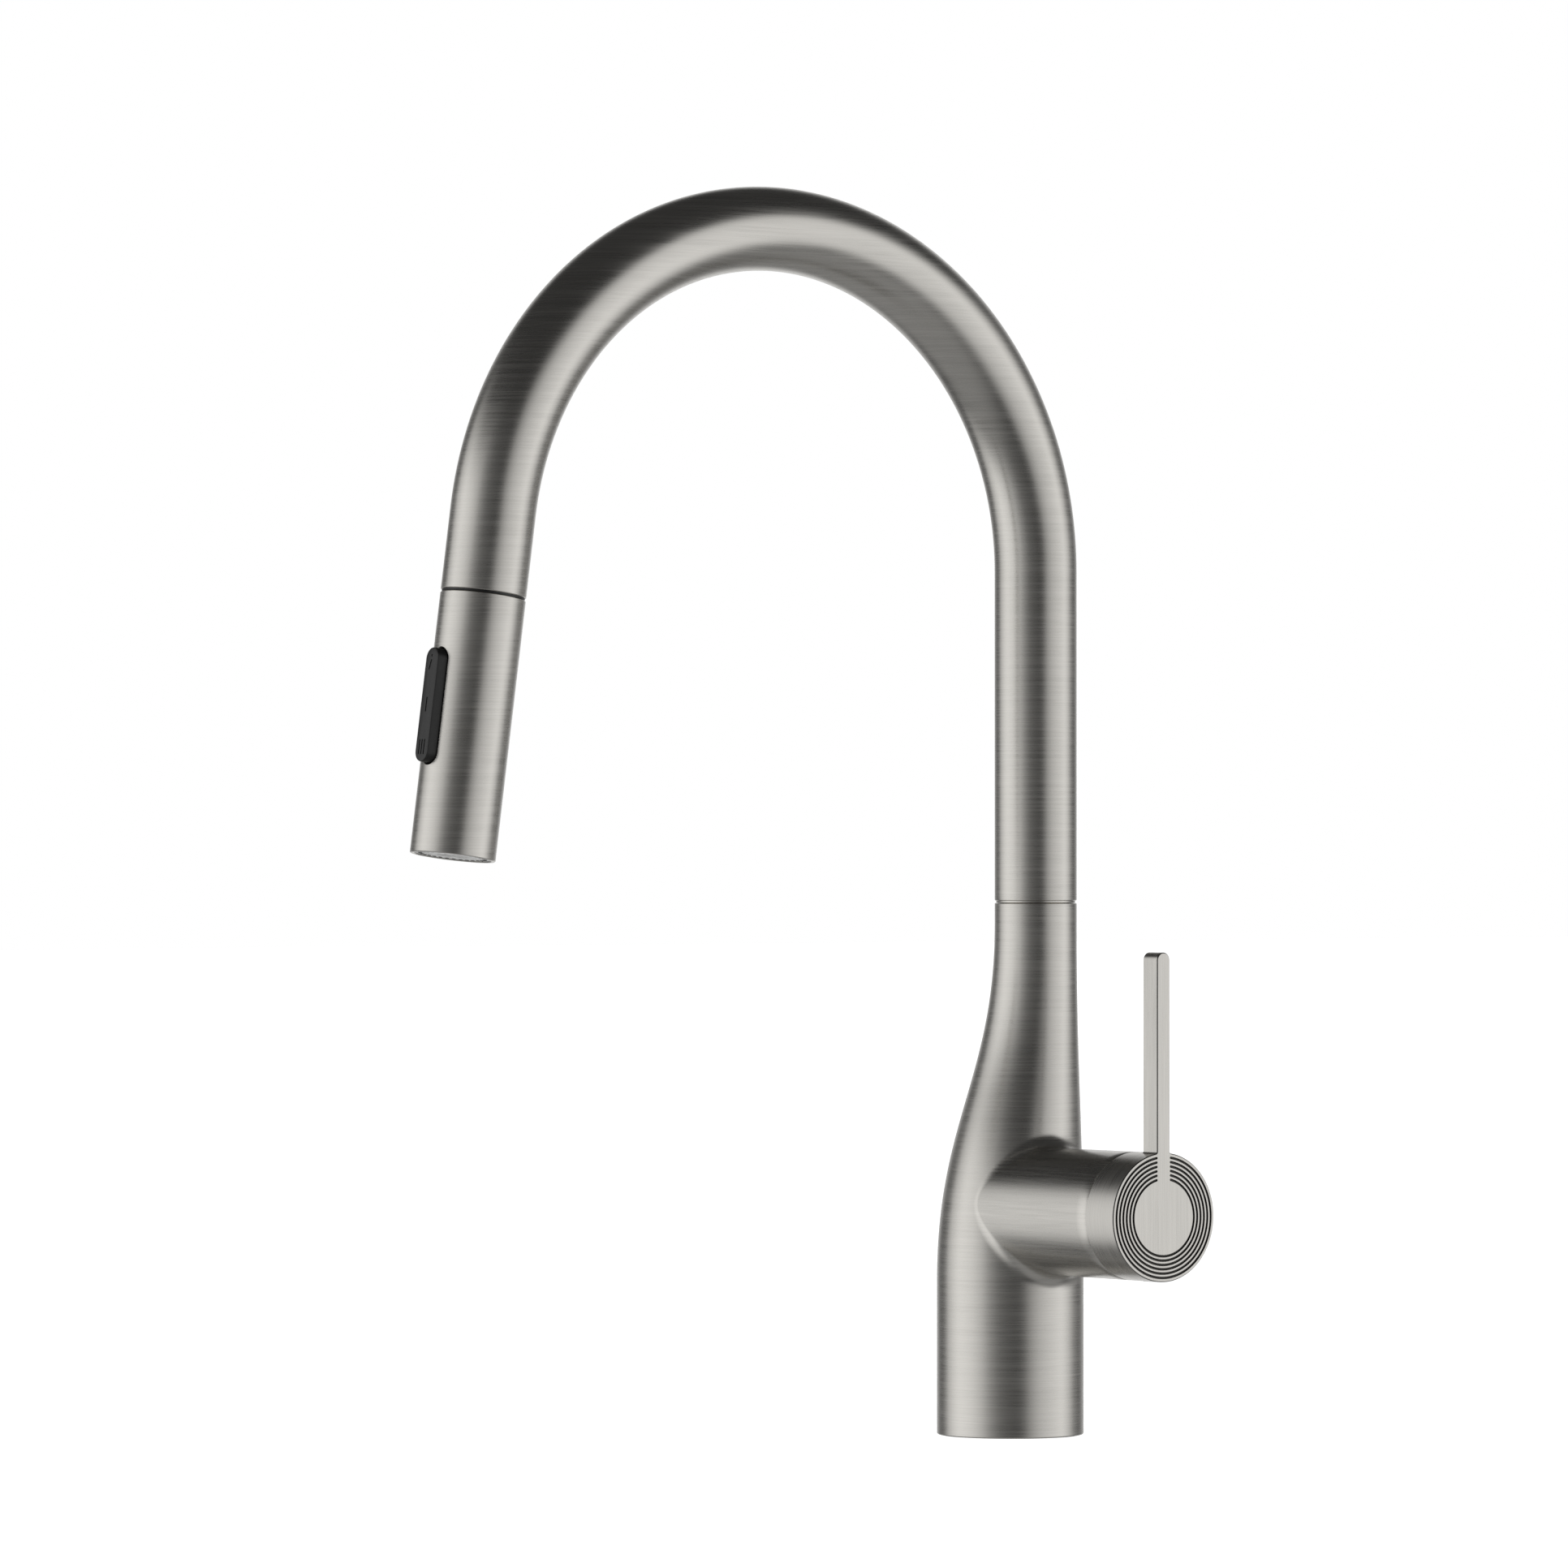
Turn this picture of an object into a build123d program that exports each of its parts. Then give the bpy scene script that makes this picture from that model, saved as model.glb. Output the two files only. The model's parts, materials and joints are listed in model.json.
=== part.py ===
from build123d import *
from math import cos, pi, radians, sin, sqrt
import os

# A pull down kitchen faucet: everything that stands above the worktop, as separate pieces.
# Millimetres. +Z is up, -Y is the spout side, +X is the handle side, and z = 0 is the worktop.

# ---- overall sizes -------------------------------------------------------------------------
BASE_DIAMETER = 50.0          # round foot on the worktop
TUBE_DIAMETER = 28.0          # column, gooseneck and spray head share one diameter
TOTAL_HEIGHT = 420.2          # worktop to the top of the gooseneck
REACH_RADIUS = 112.45         # centreline radius of the gooseneck
ARC_SWEEP = 172.0             # degrees the gooseneck turns through
HEAD_START = 28.3             # distance from the end of the arc to the spray head
HEAD_LENGTH = 85.7

BASE_R = BASE_DIAMETER / 2
TUBE_R = TUBE_DIAMETER / 2
COLUMN_Y = BASE_R - TUBE_R    # foot and column share their rearmost line
ARC_Z = TOTAL_HEIGHT - REACH_RADIUS - TUBE_R

# ---- fits ----------------------------------------------------------------------------------
RUNNING = 0.05                # radial clearance of a shaft that turns or slides in a bore
APART = 0.35                  # space between pieces that pass each other without touching
FACE_GAP = 0.1                # space between flat faces that only meet at rest

# ---- spray hose ------------------------------------------------------------------------------
HOSE_R = 5.75
HOSE_BORE = 3.4
STUB_LENGTH = 48.3            # stretch of hose that belongs to the head, back from the head's top
HOSE_CUT_GAP = 0.5
FERRULE_WALL = 0.45
FERRULE_START = 3.5
FERRULE_NECK = 6.3            # the ferrule's sleeve ends this far before the head
SWIVEL_NECK_R = 4.0
TAIL_FERRULE_WALL = 0.85
TAIL_FERRULE_TOP = 22.0
TAIL_BOTTOM = 1.0
TAIL_FLOOR = 1.0
FERRULE_CAP = 2.0
HOSE_LEAVE = 40.0            # degrees before the arc's end where the hose leaves its centreline
HOSE_ROOM = 0.9               # between the tail ferrule and the bore it is pulled through

FERRULE_R = HOSE_R + FERRULE_WALL
FERRULE_END = HEAD_START - FERRULE_NECK
STUB_START = HEAD_START - STUB_LENGTH
TAIL_FERRULE_R = HOSE_R + TAIL_FERRULE_WALL
HOSE_BORE_R = TAIL_FERRULE_R + HOSE_ROOM

# ---- 35 mm mixing cartridge, along X from its seat ------------------------------------------
SEAT_X = 32.0
HOUSING_R = 17.5
HOUSING_WALL = 1.7
HOUSING_ROOF = 1.8
PASSAGE_R = 3.0
HOT_PORT = (6.0, 4.5)         # y, and z above the handle axis
COLD_PORT = (-6.5, 4.5)
MIXED_PORT = (-1.0, -8.0)
PORTS = (HOT_PORT, COLD_PORT, MIXED_PORT)
PEG_SPACING = 12.5
PEG_R = 1.6
PEG_LENGTH = 3.0
CARTRIDGE_BASE_THICK = 5.0
SEAL_WALL = 1.2
SEAL_THICK = 2.0
DISC_SIDE_GAP = 0.4
FIXED_DISC_THICK = 3.5
MOVING_DISC_R = 12.6
MOVING_DISC_THICK = 3.0
MIX_POCKET_WIDTH = 9.0
MIX_POCKET_LENGTH = 6.0
MIX_POCKET_DROP = 4.0
CARRIER_R = 12.9
CARRIER_THICK = 3.6
DISC_REST_OFFSET = 1.75       # the moving disc starts below the axis and ends above it
HOUSING_NECK_R = 13.6
TURRET_FLANGE_GAP = 0.5
TURRET_FLANGE_THICK = 2.4
STEM_BALL_R = 2.4
STEM_BALL_SEAT = 2.6          # middle of the stem's ball above the carrier's lower face
STEM_NECK_R = 1.7
STEM_SQUARE = 8.0
STEM_SLOT_HALF = 8.3
PIN_R = 1.5
PIN_INSET = 1.0
NUT_THICK = 5.5
NUT_NOTCHES = 6
NUT_NOTCH = 3.0
BONNET_NUT_GAP = 3.0
RING_STEP = 0.8               # chamber, nut and bonnet widen by this much from one to the next
BONNET_WALL = 4.1
BONNET_SEAL_RISE = 3.0
BONNET_SEAL_R = 0.9

HOUSING_BORE_R = HOUSING_R - HOUSING_WALL
FIXED_DISC_R = HOUSING_BORE_R - DISC_SIDE_GAP
CHAMBER_R = HOUSING_R + FACE_GAP
NUT_R = CHAMBER_R + RING_STEP
BONNET_R = NUT_R + RING_STEP
BONNET_HOLE_R = BONNET_R - BONNET_WALL
SEAL_R = PASSAGE_R + SEAL_WALL
TURRET_R = HOUSING_NECK_R - HOUSING_WALL
TURRET_FLANGE_R = HOUSING_BORE_R - TURRET_FLANGE_GAP
STEM_BODY_R = STEM_SQUARE / 2
FIXED_DISC_X = SEAT_X + CARTRIDGE_BASE_THICK
MOVING_DISC_X = FIXED_DISC_X + FIXED_DISC_THICK
CARRIER_X = MOVING_DISC_X + MOVING_DISC_THICK
CARRIER_END_X = CARRIER_X + CARRIER_THICK
TURRET_START_X = CARRIER_END_X + FACE_GAP
FLANGE_END_X = TURRET_START_X + TURRET_FLANGE_THICK + FACE_GAP
HOUSING_SHOULDER_X = FLANGE_END_X + HOUSING_ROOF
NUT_END_X = HOUSING_SHOULDER_X + NUT_THICK
BONNET_START_X = NUT_END_X + BONNET_NUT_GAP
BONNET_SEAL_X = BONNET_START_X + BONNET_SEAL_RISE

# ---- body casting --------------------------------------------------------------------------
STRAIGHT_TOP = 52.3           # the foot is a plain cylinder up to here
FLARE_TOP = 174.1             # above this the neck has the tube's diameter
FLARE_FOOT_PULL = 54.9        # how strongly the flare holds the foot's diameter
FLARE_NECK_PULL = 53.4        # how strongly it holds the neck's diameter
FLARE_SECTIONS = 15
FLARE_RUN_IN = 6.0            # spacing of the sections that carry the flare into the foot
NECK_STRAIGHT = 6.7
FOOT_CHAMFER = 0.4
BODY_WALL = 2.6
NECK_WALL = 2.35
CAVITY_BOTTOM = 106.0         # hollow of the flare above the solid valve block
NECK_TOP = FLARE_TOP + NECK_STRAIGHT
SOCKET_R = TUBE_R - NECK_WALL

BOSS_Z = 76.6                 # height of the handle axis
BOSS_R = 21.5
BOSS_FILLET = 6.0
PIVOT_ROOM = 4.8              # the lever tilts about a point this far outside the shoulder
SEAM_RISE = 12.0              # seam between boss and handle, outside the pivot
SEAM_BEVEL = 0.4
PIVOT_X = HOUSING_SHOULDER_X + PIVOT_ROOM
SEAM_X = PIVOT_X + SEAM_RISE
BALL_R = sqrt(SEAM_RISE ** 2 + BOSS_R ** 2)
DOME_R = BALL_R - APART / 2
CAP_INNER_R = BALL_R + APART / 2
BALL_ARM = PIVOT_X - CARRIER_X - STEM_BALL_SEAT
TURRET_RISE = 4.9             # the turret's end, outside the pivot
NECK_END_STEP = 0.6
TURRET_END_X = PIVOT_X + TURRET_RISE
NECK_END_X = TURRET_END_X - NECK_END_STEP

# ---- waterways in the casting (x, y on the worktop) -----------------------------------------
PASSAGE_OVERRUN = 1.0         # crossing drillings run this far past each other's axis
PORT_THREAD_R = 4.5           # M10 x 1 supply thread
PORT_THREAD_DEPTH = 14.0
HOT_XY = (12.2, 4.6)
COLD_XY = (9.5, -8.5)
MIXED_XY = (-11.5, -1.0)
STUD_XY = (0.0, -10.8)
STUD_R = 3.4                  # M8 fixing stud, tapping size
STUD_DEPTH = 22.0
GASKET_INSET = 2.0
GASKET_WIDTH = 2.8
GASKET_DEPTH = 2.0
GASKET_OUTER_R = BASE_R - GASKET_INSET
GASKET_INNER_R = GASKET_OUTER_R - GASKET_WIDTH

# ---- handle --------------------------------------------------------------------------------
CAP_WALL = 2.4                # face of the cap outside the hollow ball
LEVER_WIDTH = 5.4
LEVER_DEPTH = 7.4
LEVER_TIP_Z = 164.8
LEVER_ROOT_FILLET = 0.8
HUB_R = 7.0
HUB_ROOM = 4.8                # between the turret and the hub
HUB_OVERLAP = 1.0             # the hub runs into the face up to here
STEM_END_DEPTH = 4.0
GROOVE_COUNT = 6
GROOVE_RIM = 1.45             # from the outermost groove's middle to the rim
GROOVE_PITCH = 1.44
GROOVE_WIDTH = 0.65
GROOVE_DEPTH = 0.45
GROOVE_LEVER_GAP = 0.3
SCREW_DEPTH = 7.0             # axis of the set screw behind the face
SCREW_R = 2.0                 # M4 set screw
SCREW_KEY_R = 1.1
SCREW_KEY_DEPTH = 1.6
PLUG_R = 2.8
PLUG_LENGTH = 3.2

CAP_FACE_X = PIVOT_X + CAP_INNER_R + CAP_WALL
GROOVE_FIRST_R = BOSS_R - GROOVE_RIM - (GROOVE_COUNT - 1) * GROOVE_PITCH
GROOVE_GAP_HALF = LEVER_WIDTH / 2 + GROOVE_LEVER_GAP
HUB_START_X = TURRET_END_X + HUB_ROOM
STEM_END_X = CAP_FACE_X - STEM_END_DEPTH
SCREW_X = CAP_FACE_X - SCREW_DEPTH
SCREW_LENGTH = HUB_R - STEM_SQUARE / 2

# ---- spout, its heights counted from the top of the neck ---------------------------------------
TUBE_WALL = 1.2
SWIVEL_GAP = 0.8
SWIVEL_RING_INSET = 0.5
BUSH_WALL = 1.0
BUSH_LENGTH = 7.0
BUSH_STEP = 1.0
SPIGOT_WALL = 2.4
SPIGOT_ABOVE = 25.2
SPIGOT_BELOW = 30.8
SOCKET_ROOM = 4.0             # below the spigot's end
SOCKET_LEAD = 2.0
LOCK_SCREW_DROP = 17.8
LOCK_SCREW_R = 2.0
LOCK_SCREW_INSET = 0.5
LOCK_GROOVE_DEPTH = 1.0
SPIGOT_RING_DROP = 11.8
SPIGOT_RING_SECTION = 0.9
RING_GROOVE_ROOM = 0.1

SPIGOT_R = SOCKET_R - BUSH_WALL - RUNNING
SPIGOT_BORE_R = SPIGOT_R - SPIGOT_WALL
SPIGOT_TOP = NECK_TOP + SPIGOT_ABOVE
SPIGOT_BOTTOM = NECK_TOP - SPIGOT_BELOW
SPIGOT_SOCKET_BOTTOM = SPIGOT_BOTTOM - SOCKET_ROOM
LOCK_SCREW_Z = NECK_TOP - LOCK_SCREW_DROP
SPIGOT_RING_Z = NECK_TOP - SPIGOT_RING_DROP
SWIVEL_RING_R = TUBE_R - SWIVEL_RING_INSET
TUBE_BORE = TUBE_R - TUBE_WALL

# ---- dock at the end of the spout, along the spray axis, counted back from the head ------------
DOCK_RING_INSET = 0.4
DOCK_RING_THICK = 0.75
COLLAR_DEPTH = 11.3
MAGNET_SKIN = 0.7             # plastic outside the magnets
MAGNET_WIDTH = 1.3
MAGNET_LINING = 0.8           # plastic inside the magnets
DOCK_MAGNET_FAR = 10.9
DOCK_MAGNET_NEAR = 2.7
GUIDE_FAR = 20.3
GUIDE_NEAR = 11.5
GUIDE_ROOM = 0.85
GUIDE_MOUTH = 3.0
NUT_ROOM = 0.4                # between the hose nut and the dock it slides into

DOCK_RING_R = TUBE_R - DOCK_RING_INSET
MAGNET_OUTER_R = TUBE_BORE - MAGNET_SKIN
MAGNET_INNER_R = MAGNET_OUTER_R - MAGNET_WIDTH
DOCK_BORE_R = MAGNET_INNER_R - MAGNET_LINING
DOCK_START = HEAD_START - FACE_GAP - DOCK_RING_THICK
COLLAR_START = HEAD_START - COLLAR_DEPTH
MAGNET_START = HEAD_START - DOCK_MAGNET_FAR
MAGNET_END = HEAD_START - DOCK_MAGNET_NEAR
GUIDE_START = HEAD_START - GUIDE_FAR
GUIDE_END = HEAD_START - GUIDE_NEAR
GUIDE_BORE_R = HOSE_R + GUIDE_ROOM

# ---- spray head, counted from its top or back from its face ------------------------------------
SHELL_WALL = 1.4
NUT_CONE_REACH = 3.7          # the nut's cone stands this far out of the head
NUT_CONE_STEP = 1.4
NUT_CONE_LENGTH = 3.0
NUT_WALL = 1.4
NUT_DEPTH = 13.7
BALL_WALL = 1.2
BALL_DEPTH = 3.7
WASHER_DEPTH = 5.9
WASHER_THICK = 2.0
WATERWAY_R = 3.2
FLANGE_THICK = 4.0
CORE_ROOM = 4.2               # between core and shell, for the button
CORE_FOOT_THICK = 6.0
DIVIDER_THICK = 6.0
DIVIDER_DEPTH = 10.0
DIVIDER_HOLES = 12
DIVIDER_HOLE_R = 1.0
FEED_DEPTH = 3.0
FEED_THICK = 1.5
VALVE_BORE_R = 5.0
VALVE_BODY_BORE_R = 3.6
VALVE_SEAT_R = 2.4
VALVE_STEP = 0.8
VALVE_SEAT_THICK = 1.2
POPPET_R = 3.0
POPPET_THICK = 1.4
POPPET_STEM_R = 0.9
CROSS_HALF = 0.6
CROSS_THICK = 2.0
RING_DEPTH = 0.6
HEAD_MAGNET_DEPTH = 0.8
HEAD_MAGNET_END = 4.0
SPOOL_BORE_R = 4.0
SPOOL_STEM_R = 2.0
SPOOL_HALF = 9.0
SPOOL_LAND_END = 8.5
SPOOL_GROOVE_HALF = 1.1
SPOOL_RING_AT = 6.0
SPOOL_RING_R = 0.7
SPOOL_RING_ROOM = 0.1

BUTTON_WIDTH = 7.2
BUTTON_LENGTH = 37.5
BUTTON_DEPTH = 37.95          # middle of the button, below the top of the head
BUTTON_PROUD = 3.0            # front of the button outside the shell
BUTTON_THICK = 4.2
BUTTON_EDGE = 0.5
BUTTON_SIDE_GAP = 0.35
BUTTON_END_GAP = 0.5
BUTTON_PIVOT_DEPTH = 2.4
BUTTON_PIN_R = 0.8
BUTTON_HUB_LENGTH = 8.0
BUTTON_HUB_WIDTH = 5.0
BUTTON_HUB_DROP = 2.2         # the pivot block reaches this far below the pin
EAR_THICK = 1.0
EAR_LENGTH = 6.0
EAR_RISE = 1.5
FLAT_HALF = 8.0
FLAT_DEPTH = 1.4
FINGER_TIP = 2.9
FINGER_THICK = 1.5
FINGER_WIDTH = 1.8
FINGER_TRAVEL = 1.2
MARK_DEPTH = 0.2
DOT_R = 0.45
DOT_INSET = 2.75              # from the upper end of the button
WEDGE_INSET = 5.7
WEDGE = ((-1.25, -1.65), (1.25, -1.65), (0.35, 1.65), (-0.35, 1.65))
LINE_WIDTH = 0.9
LINE_LENGTH = 4.8
BAR_WIDTH = 0.55
BAR_LENGTH = 4.9
BAR_INSET = 2.4               # from the lower end of the button
BAR_PITCH = 1.4

FACE_INSET = 0.4
FACE_THICK = 2.6
FACE_RING_WIDTH = 5.1
NOZZLE_COUNT = 30
NOZZLE_INSET = 1.9
NOZZLE_R = 0.6
NOZZLE_PAD_THICK = 1.6
NOZZLE_PAD_MARGIN = 1.6
AERATOR_WALL = 1.2
AERATOR_SLOTS = 5
AERATOR_SLOT_WIDTH = 1.1
GRILLE_THICK = 2.0
GRILLE_MARGIN = 1.0
SCREEN_THICK = 0.8
SCREEN_STEP = 2.0
SCREEN_HOLE_R = 0.55
SCREEN_RINGS = ((2.0, 6), (4.2, 12))

HEAD_END = HEAD_START + HEAD_LENGTH
SHELL_BORE = TUBE_R - SHELL_WALL
SWIVEL_NUT_R = DOCK_BORE_R - NUT_ROOM
NUT_CONE_R = SWIVEL_NUT_R - NUT_CONE_STEP
NIPPLE_R = SWIVEL_NUT_R - NUT_WALL
SWIVEL_BALL_R = NIPPLE_R - BALL_WALL
NUT_CONE_START = HEAD_START - NUT_CONE_REACH
HEAD_NUT_END = HEAD_START + NUT_DEPTH
SWIVEL_BALL_S = HEAD_START + BALL_DEPTH
WASHER_START = HEAD_START + WASHER_DEPTH
NIPPLE_START = WASHER_START + WASHER_THICK
CORE_FLANGE_END = HEAD_NUT_END + FLANGE_THICK
CHECK_VALVE_END = CORE_FLANGE_END
DIVIDER_END = HEAD_END - DIVIDER_DEPTH
CORE_END = DIVIDER_END - DIVIDER_THICK
CORE_FOOT_START = CORE_END - CORE_FOOT_THICK
CORE_R = SHELL_BORE - CORE_ROOM
BUTTON_MIDDLE = HEAD_START + BUTTON_DEPTH
BUTTON_FACE = TUBE_R + BUTTON_PROUD
BUTTON_BACK = BUTTON_FACE - BUTTON_THICK
BUTTON_PIVOT = BUTTON_BACK - BUTTON_PIVOT_DEPTH
AERATOR_R = SHELL_BORE - FACE_RING_WIDTH
NOZZLE_RING_R = SHELL_BORE - NOZZLE_INSET

# ---- frames: a piece is drawn along its own axis and then put in place -----------------------
ARC_CENTRE_Y = COLUMN_Y - REACH_RADIUS
TILT = radians(180.0 - ARC_SWEEP)
ARC_END = (0, ARC_CENTRE_Y - REACH_RADIUS * cos(TILT), ARC_Z + REACH_RADIUS * sin(TILT))
SPRAY_DIRECTION = (0, -sin(TILT), -cos(TILT))
WORLD = Location((0, 0, 0))
COLUMN = Location((0, COLUMN_Y, 0))
BOSS = Plane(origin=(0, 0, BOSS_Z), x_dir=(0, 1, 0), z_dir=(1, 0, 0)).location
HEAD = Plane(origin=ARC_END, x_dir=(1, 0, 0), z_dir=SPRAY_DIRECTION).location

SPOUT_START = NECK_TOP + SWIVEL_GAP
CENTRED = (Align.CENTER, Align.CENTER, Align.CENTER)
STANDING = (Align.CENTER, Align.CENTER, Align.MIN)


# ---- helpers ---------------------------------------------------------------------------------
def rod(frame, start, end, radius):
    """A round bar along the frame's axis."""
    return frame * Pos(0, 0, start) * Cylinder(radius, end - start, align=STANDING)


def ring(frame, start, end, outer, inner):
    """A round bar with a bore."""
    return rod(frame, start, end, outer) - rod(frame, start, end, inner)


def offset_rod(frame, at, start, end, radius):
    """A round bar beside the frame's axis."""
    return frame * Pos(at[0], at[1], start) * Cylinder(radius, end - start, align=STANDING)


def turned(frame, profile):
    """A lathe piece from its half section, given as (radius, height) corners."""
    corners = [(radius, 0, height) for radius, height in profile]
    return frame * revolve(make_face(Polyline(*corners, close=True)), Axis.Z)


def ball(frame, height, radius):
    return frame * Pos(0, 0, height) * Sphere(radius)


def o_ring(frame, height, middle_radius, section_radius):
    return frame * Pos(0, 0, height) * Torus(middle_radius, section_radius)


def block(frame, low, high):
    """A box from its two opposite corners."""
    size = [abs(b - a) for a, b in zip(low, high)]
    middle = [(a + b) / 2 for a, b in zip(low, high)]
    return frame * Pos(*middle) * Box(*size, align=CENTRED)


def around(count, radius):
    """Places evenly spaced on a circle."""
    return [(radius * cos(2 * pi * i / count), radius * sin(2 * pi * i / count)) for i in range(count)]


def save(name, shape):
    export_step(shape, f"parts/{name}.step")


# ---- body casting ------------------------------------------------------------------------------
def flare_point(t):
    """Height and radius of the flare, from the neck (t = 0) to the foot (t = 1)."""
    weights = ((1 - t) ** 3, 3 * t * (1 - t) ** 2, 3 * t ** 2 * (1 - t), t ** 3)
    heights = (FLARE_TOP, FLARE_TOP - FLARE_NECK_PULL, STRAIGHT_TOP + FLARE_FOOT_PULL, STRAIGHT_TOP)
    radii = (TUBE_R, TUBE_R, BASE_R, BASE_R)
    height = sum(w * z for w, z in zip(weights, heights))
    radius = sum(w * r for w, r in zip(weights, radii))
    return height, radius


def flare(inset, bottom, top):
    """The column between two heights, its wall moved inwards by inset; also its last height."""
    steps = [flare_point(i / (FLARE_SECTIONS - 1)) for i in range(FLARE_SECTIONS)]
    straight = [(STRAIGHT_TOP - i * FLARE_RUN_IN, BASE_R) for i in (3, 2, 1)]
    kept = [(z, r) for z, r in straight + steps[::-1] if bottom <= z <= top]
    circles = [Pos(0, BASE_R - r, z) * Rot(0, 0, 180) * Circle(r - inset) for z, r in kept]
    return loft(circles), kept[-1][0]


def body_outside():
    """Foot, flare and neck with the boss blended into them, its end cut to the ball seam."""
    flare_bottom = STRAIGHT_TOP - 3 * FLARE_RUN_IN
    taper, _ = flare(0, flare_bottom, FLARE_TOP)
    joined = taper + rod(BOSS, 0, PIVOT_X + DOME_R, BOSS_R)
    joined = fillet([e for e in joined.edges() if on_crease(e)], BOSS_FILLET)
    foot = Rot(0, 0, 180) * Cylinder(BASE_R, flare_bottom, align=STANDING)
    foot = chamfer(foot.edges().sort_by(Axis.Z)[0], FOOT_CHAMFER)
    neck = rod(COLUMN * Rot(0, 0, 180), FLARE_TOP, NECK_TOP, TUBE_R)
    beyond = rod(BOSS, PIVOT_X, PIVOT_X + DOME_R + 1, BOSS_R + 1) - ball(BOSS, PIVOT_X, DOME_R)
    return joined + foot + neck - beyond


def on_crease(edge):
    """True for the edges where the boss leaves the column."""
    middle = edge @ 0.5
    across = sqrt(middle.Y ** 2 + (middle.Z - BOSS_Z) ** 2)
    return abs(across - BOSS_R) < 0.05 and 5 < middle.X < BASE_R + 0.5


def waterways():
    """Drillings from the worktop side up to the cartridge seat."""
    cuts = []
    for (x, y), (port_y, port_z) in zip((HOT_XY, COLD_XY, MIXED_XY), PORTS):
        top = BOSS_Z + port_z + PASSAGE_OVERRUN
        cuts.append(offset_rod(WORLD, (x, y), 0, PORT_THREAD_DEPTH, PORT_THREAD_R))
        cuts.append(offset_rod(WORLD, (x, y), 0, top, PASSAGE_R))
        cuts.append(offset_rod(BOSS, (port_y, port_z), x - PASSAGE_OVERRUN, SEAT_X, PASSAGE_R))
    cuts.append(offset_rod(WORLD, STUD_XY, 0, STUD_DEPTH, STUD_R))
    return cuts


def chamber():
    """Room for the cartridge, its nut and the bonnet."""
    cuts = [rod(BOSS, SEAT_X, PIVOT_X + DOME_R, CHAMBER_R)]
    cuts.append(rod(BOSS, HOUSING_SHOULDER_X, PIVOT_X + DOME_R, NUT_R))
    cuts.append(rod(BOSS, BONNET_START_X, PIVOT_X + DOME_R, BONNET_R))
    for side in (-PEG_SPACING, PEG_SPACING):
        cuts.append(offset_rod(BOSS, (side, 0), SEAT_X - PEG_LENGTH, SEAT_X, PEG_R))
    return cuts


def body_casting():
    solid = body_outside()
    hollow, hollow_top = flare(BODY_WALL, CAVITY_BOTTOM, SPIGOT_SOCKET_BOTTOM)
    solid -= hollow
    solid -= rod(COLUMN, hollow_top - SOCKET_LEAD, NECK_TOP, SOCKET_R)
    solid -= rod(COLUMN, 0, NECK_TOP, HOSE_BORE_R)
    for cut in waterways() + chamber():
        solid -= cut
    solid -= ring(WORLD, 0, GASKET_DEPTH, GASKET_OUTER_R, GASKET_INNER_R)
    solid -= seam_bevel(DOME_R, -1)
    return solid - lock_screw_space()


def seam_bevel(ball_radius, side):
    """Cutter for the small bevel where a ball face meets the boss diameter; side is -1 or 1."""
    inner = BOSS_R - SEAM_BEVEL
    corner_x = PIVOT_X + sqrt(ball_radius ** 2 - BOSS_R ** 2) + side * SEAM_BEVEL
    inner_x = PIVOT_X + sqrt(ball_radius ** 2 - inner ** 2)
    clear = corner_x - side * 4 * SEAM_BEVEL
    profile = [(inner, inner_x), (BOSS_R, corner_x), (BOSS_R + 1, corner_x)]
    return turned(BOSS, profile + [(BOSS_R + 1, clear), (inner, clear)])


def lock_screw_space():
    back = Plane(origin=(0, COLUMN_Y, LOCK_SCREW_Z), x_dir=(1, 0, 0), z_dir=(0, 1, 0)).location
    return rod(back, SPIGOT_R - LOCK_GROOVE_DEPTH + APART, TUBE_R + 2, LOCK_SCREW_R)


def spout_lock_screw():
    """Set screw in the back of the neck; its tip runs in the spigot's groove."""
    back = Plane(origin=(0, COLUMN_Y, LOCK_SCREW_Z), x_dir=(1, 0, 0), z_dir=(0, 1, 0)).location
    tip = SPIGOT_R - LOCK_GROOVE_DEPTH + APART
    head = TUBE_R - LOCK_SCREW_INSET
    key = extrude(RegularPolygon(SCREW_KEY_R, 6), SCREW_KEY_DEPTH)
    return rod(back, tip, head, LOCK_SCREW_R) - back * Pos(0, 0, head - SCREW_KEY_DEPTH) * key


def base_gasket():
    return ring(WORLD, 0, GASKET_DEPTH, GASKET_OUTER_R, GASKET_INNER_R)


# ---- cartridge -------------------------------------------------------------------------------
def cartridge_base():
    """Foot of the cartridge: three ports with seal pockets, two pegs that stop it turning."""
    solid = rod(BOSS, SEAT_X, FIXED_DISC_X, HOUSING_R)
    for port in PORTS:
        solid -= offset_rod(BOSS, port, SEAT_X, FIXED_DISC_X, PASSAGE_R)
        solid -= offset_rod(BOSS, port, SEAT_X, SEAT_X + SEAL_THICK, SEAL_R)
    for side in (-PEG_SPACING, PEG_SPACING):
        solid += offset_rod(BOSS, (side, 0), SEAT_X - PEG_LENGTH, SEAT_X, PEG_R)
    return solid


def port_seals():
    seals = []
    for port in PORTS:
        seal = offset_rod(BOSS, port, SEAT_X, SEAT_X + SEAL_THICK, SEAL_R)
        seals.append(seal - offset_rod(BOSS, port, SEAT_X, SEAT_X + SEAL_THICK, PASSAGE_R))
    return Compound(seals)


def fixed_disc():
    solid = rod(BOSS, FIXED_DISC_X, MOVING_DISC_X, FIXED_DISC_R)
    for port in PORTS:
        solid -= offset_rod(BOSS, port, FIXED_DISC_X, MOVING_DISC_X, PASSAGE_R)
    return solid


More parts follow.
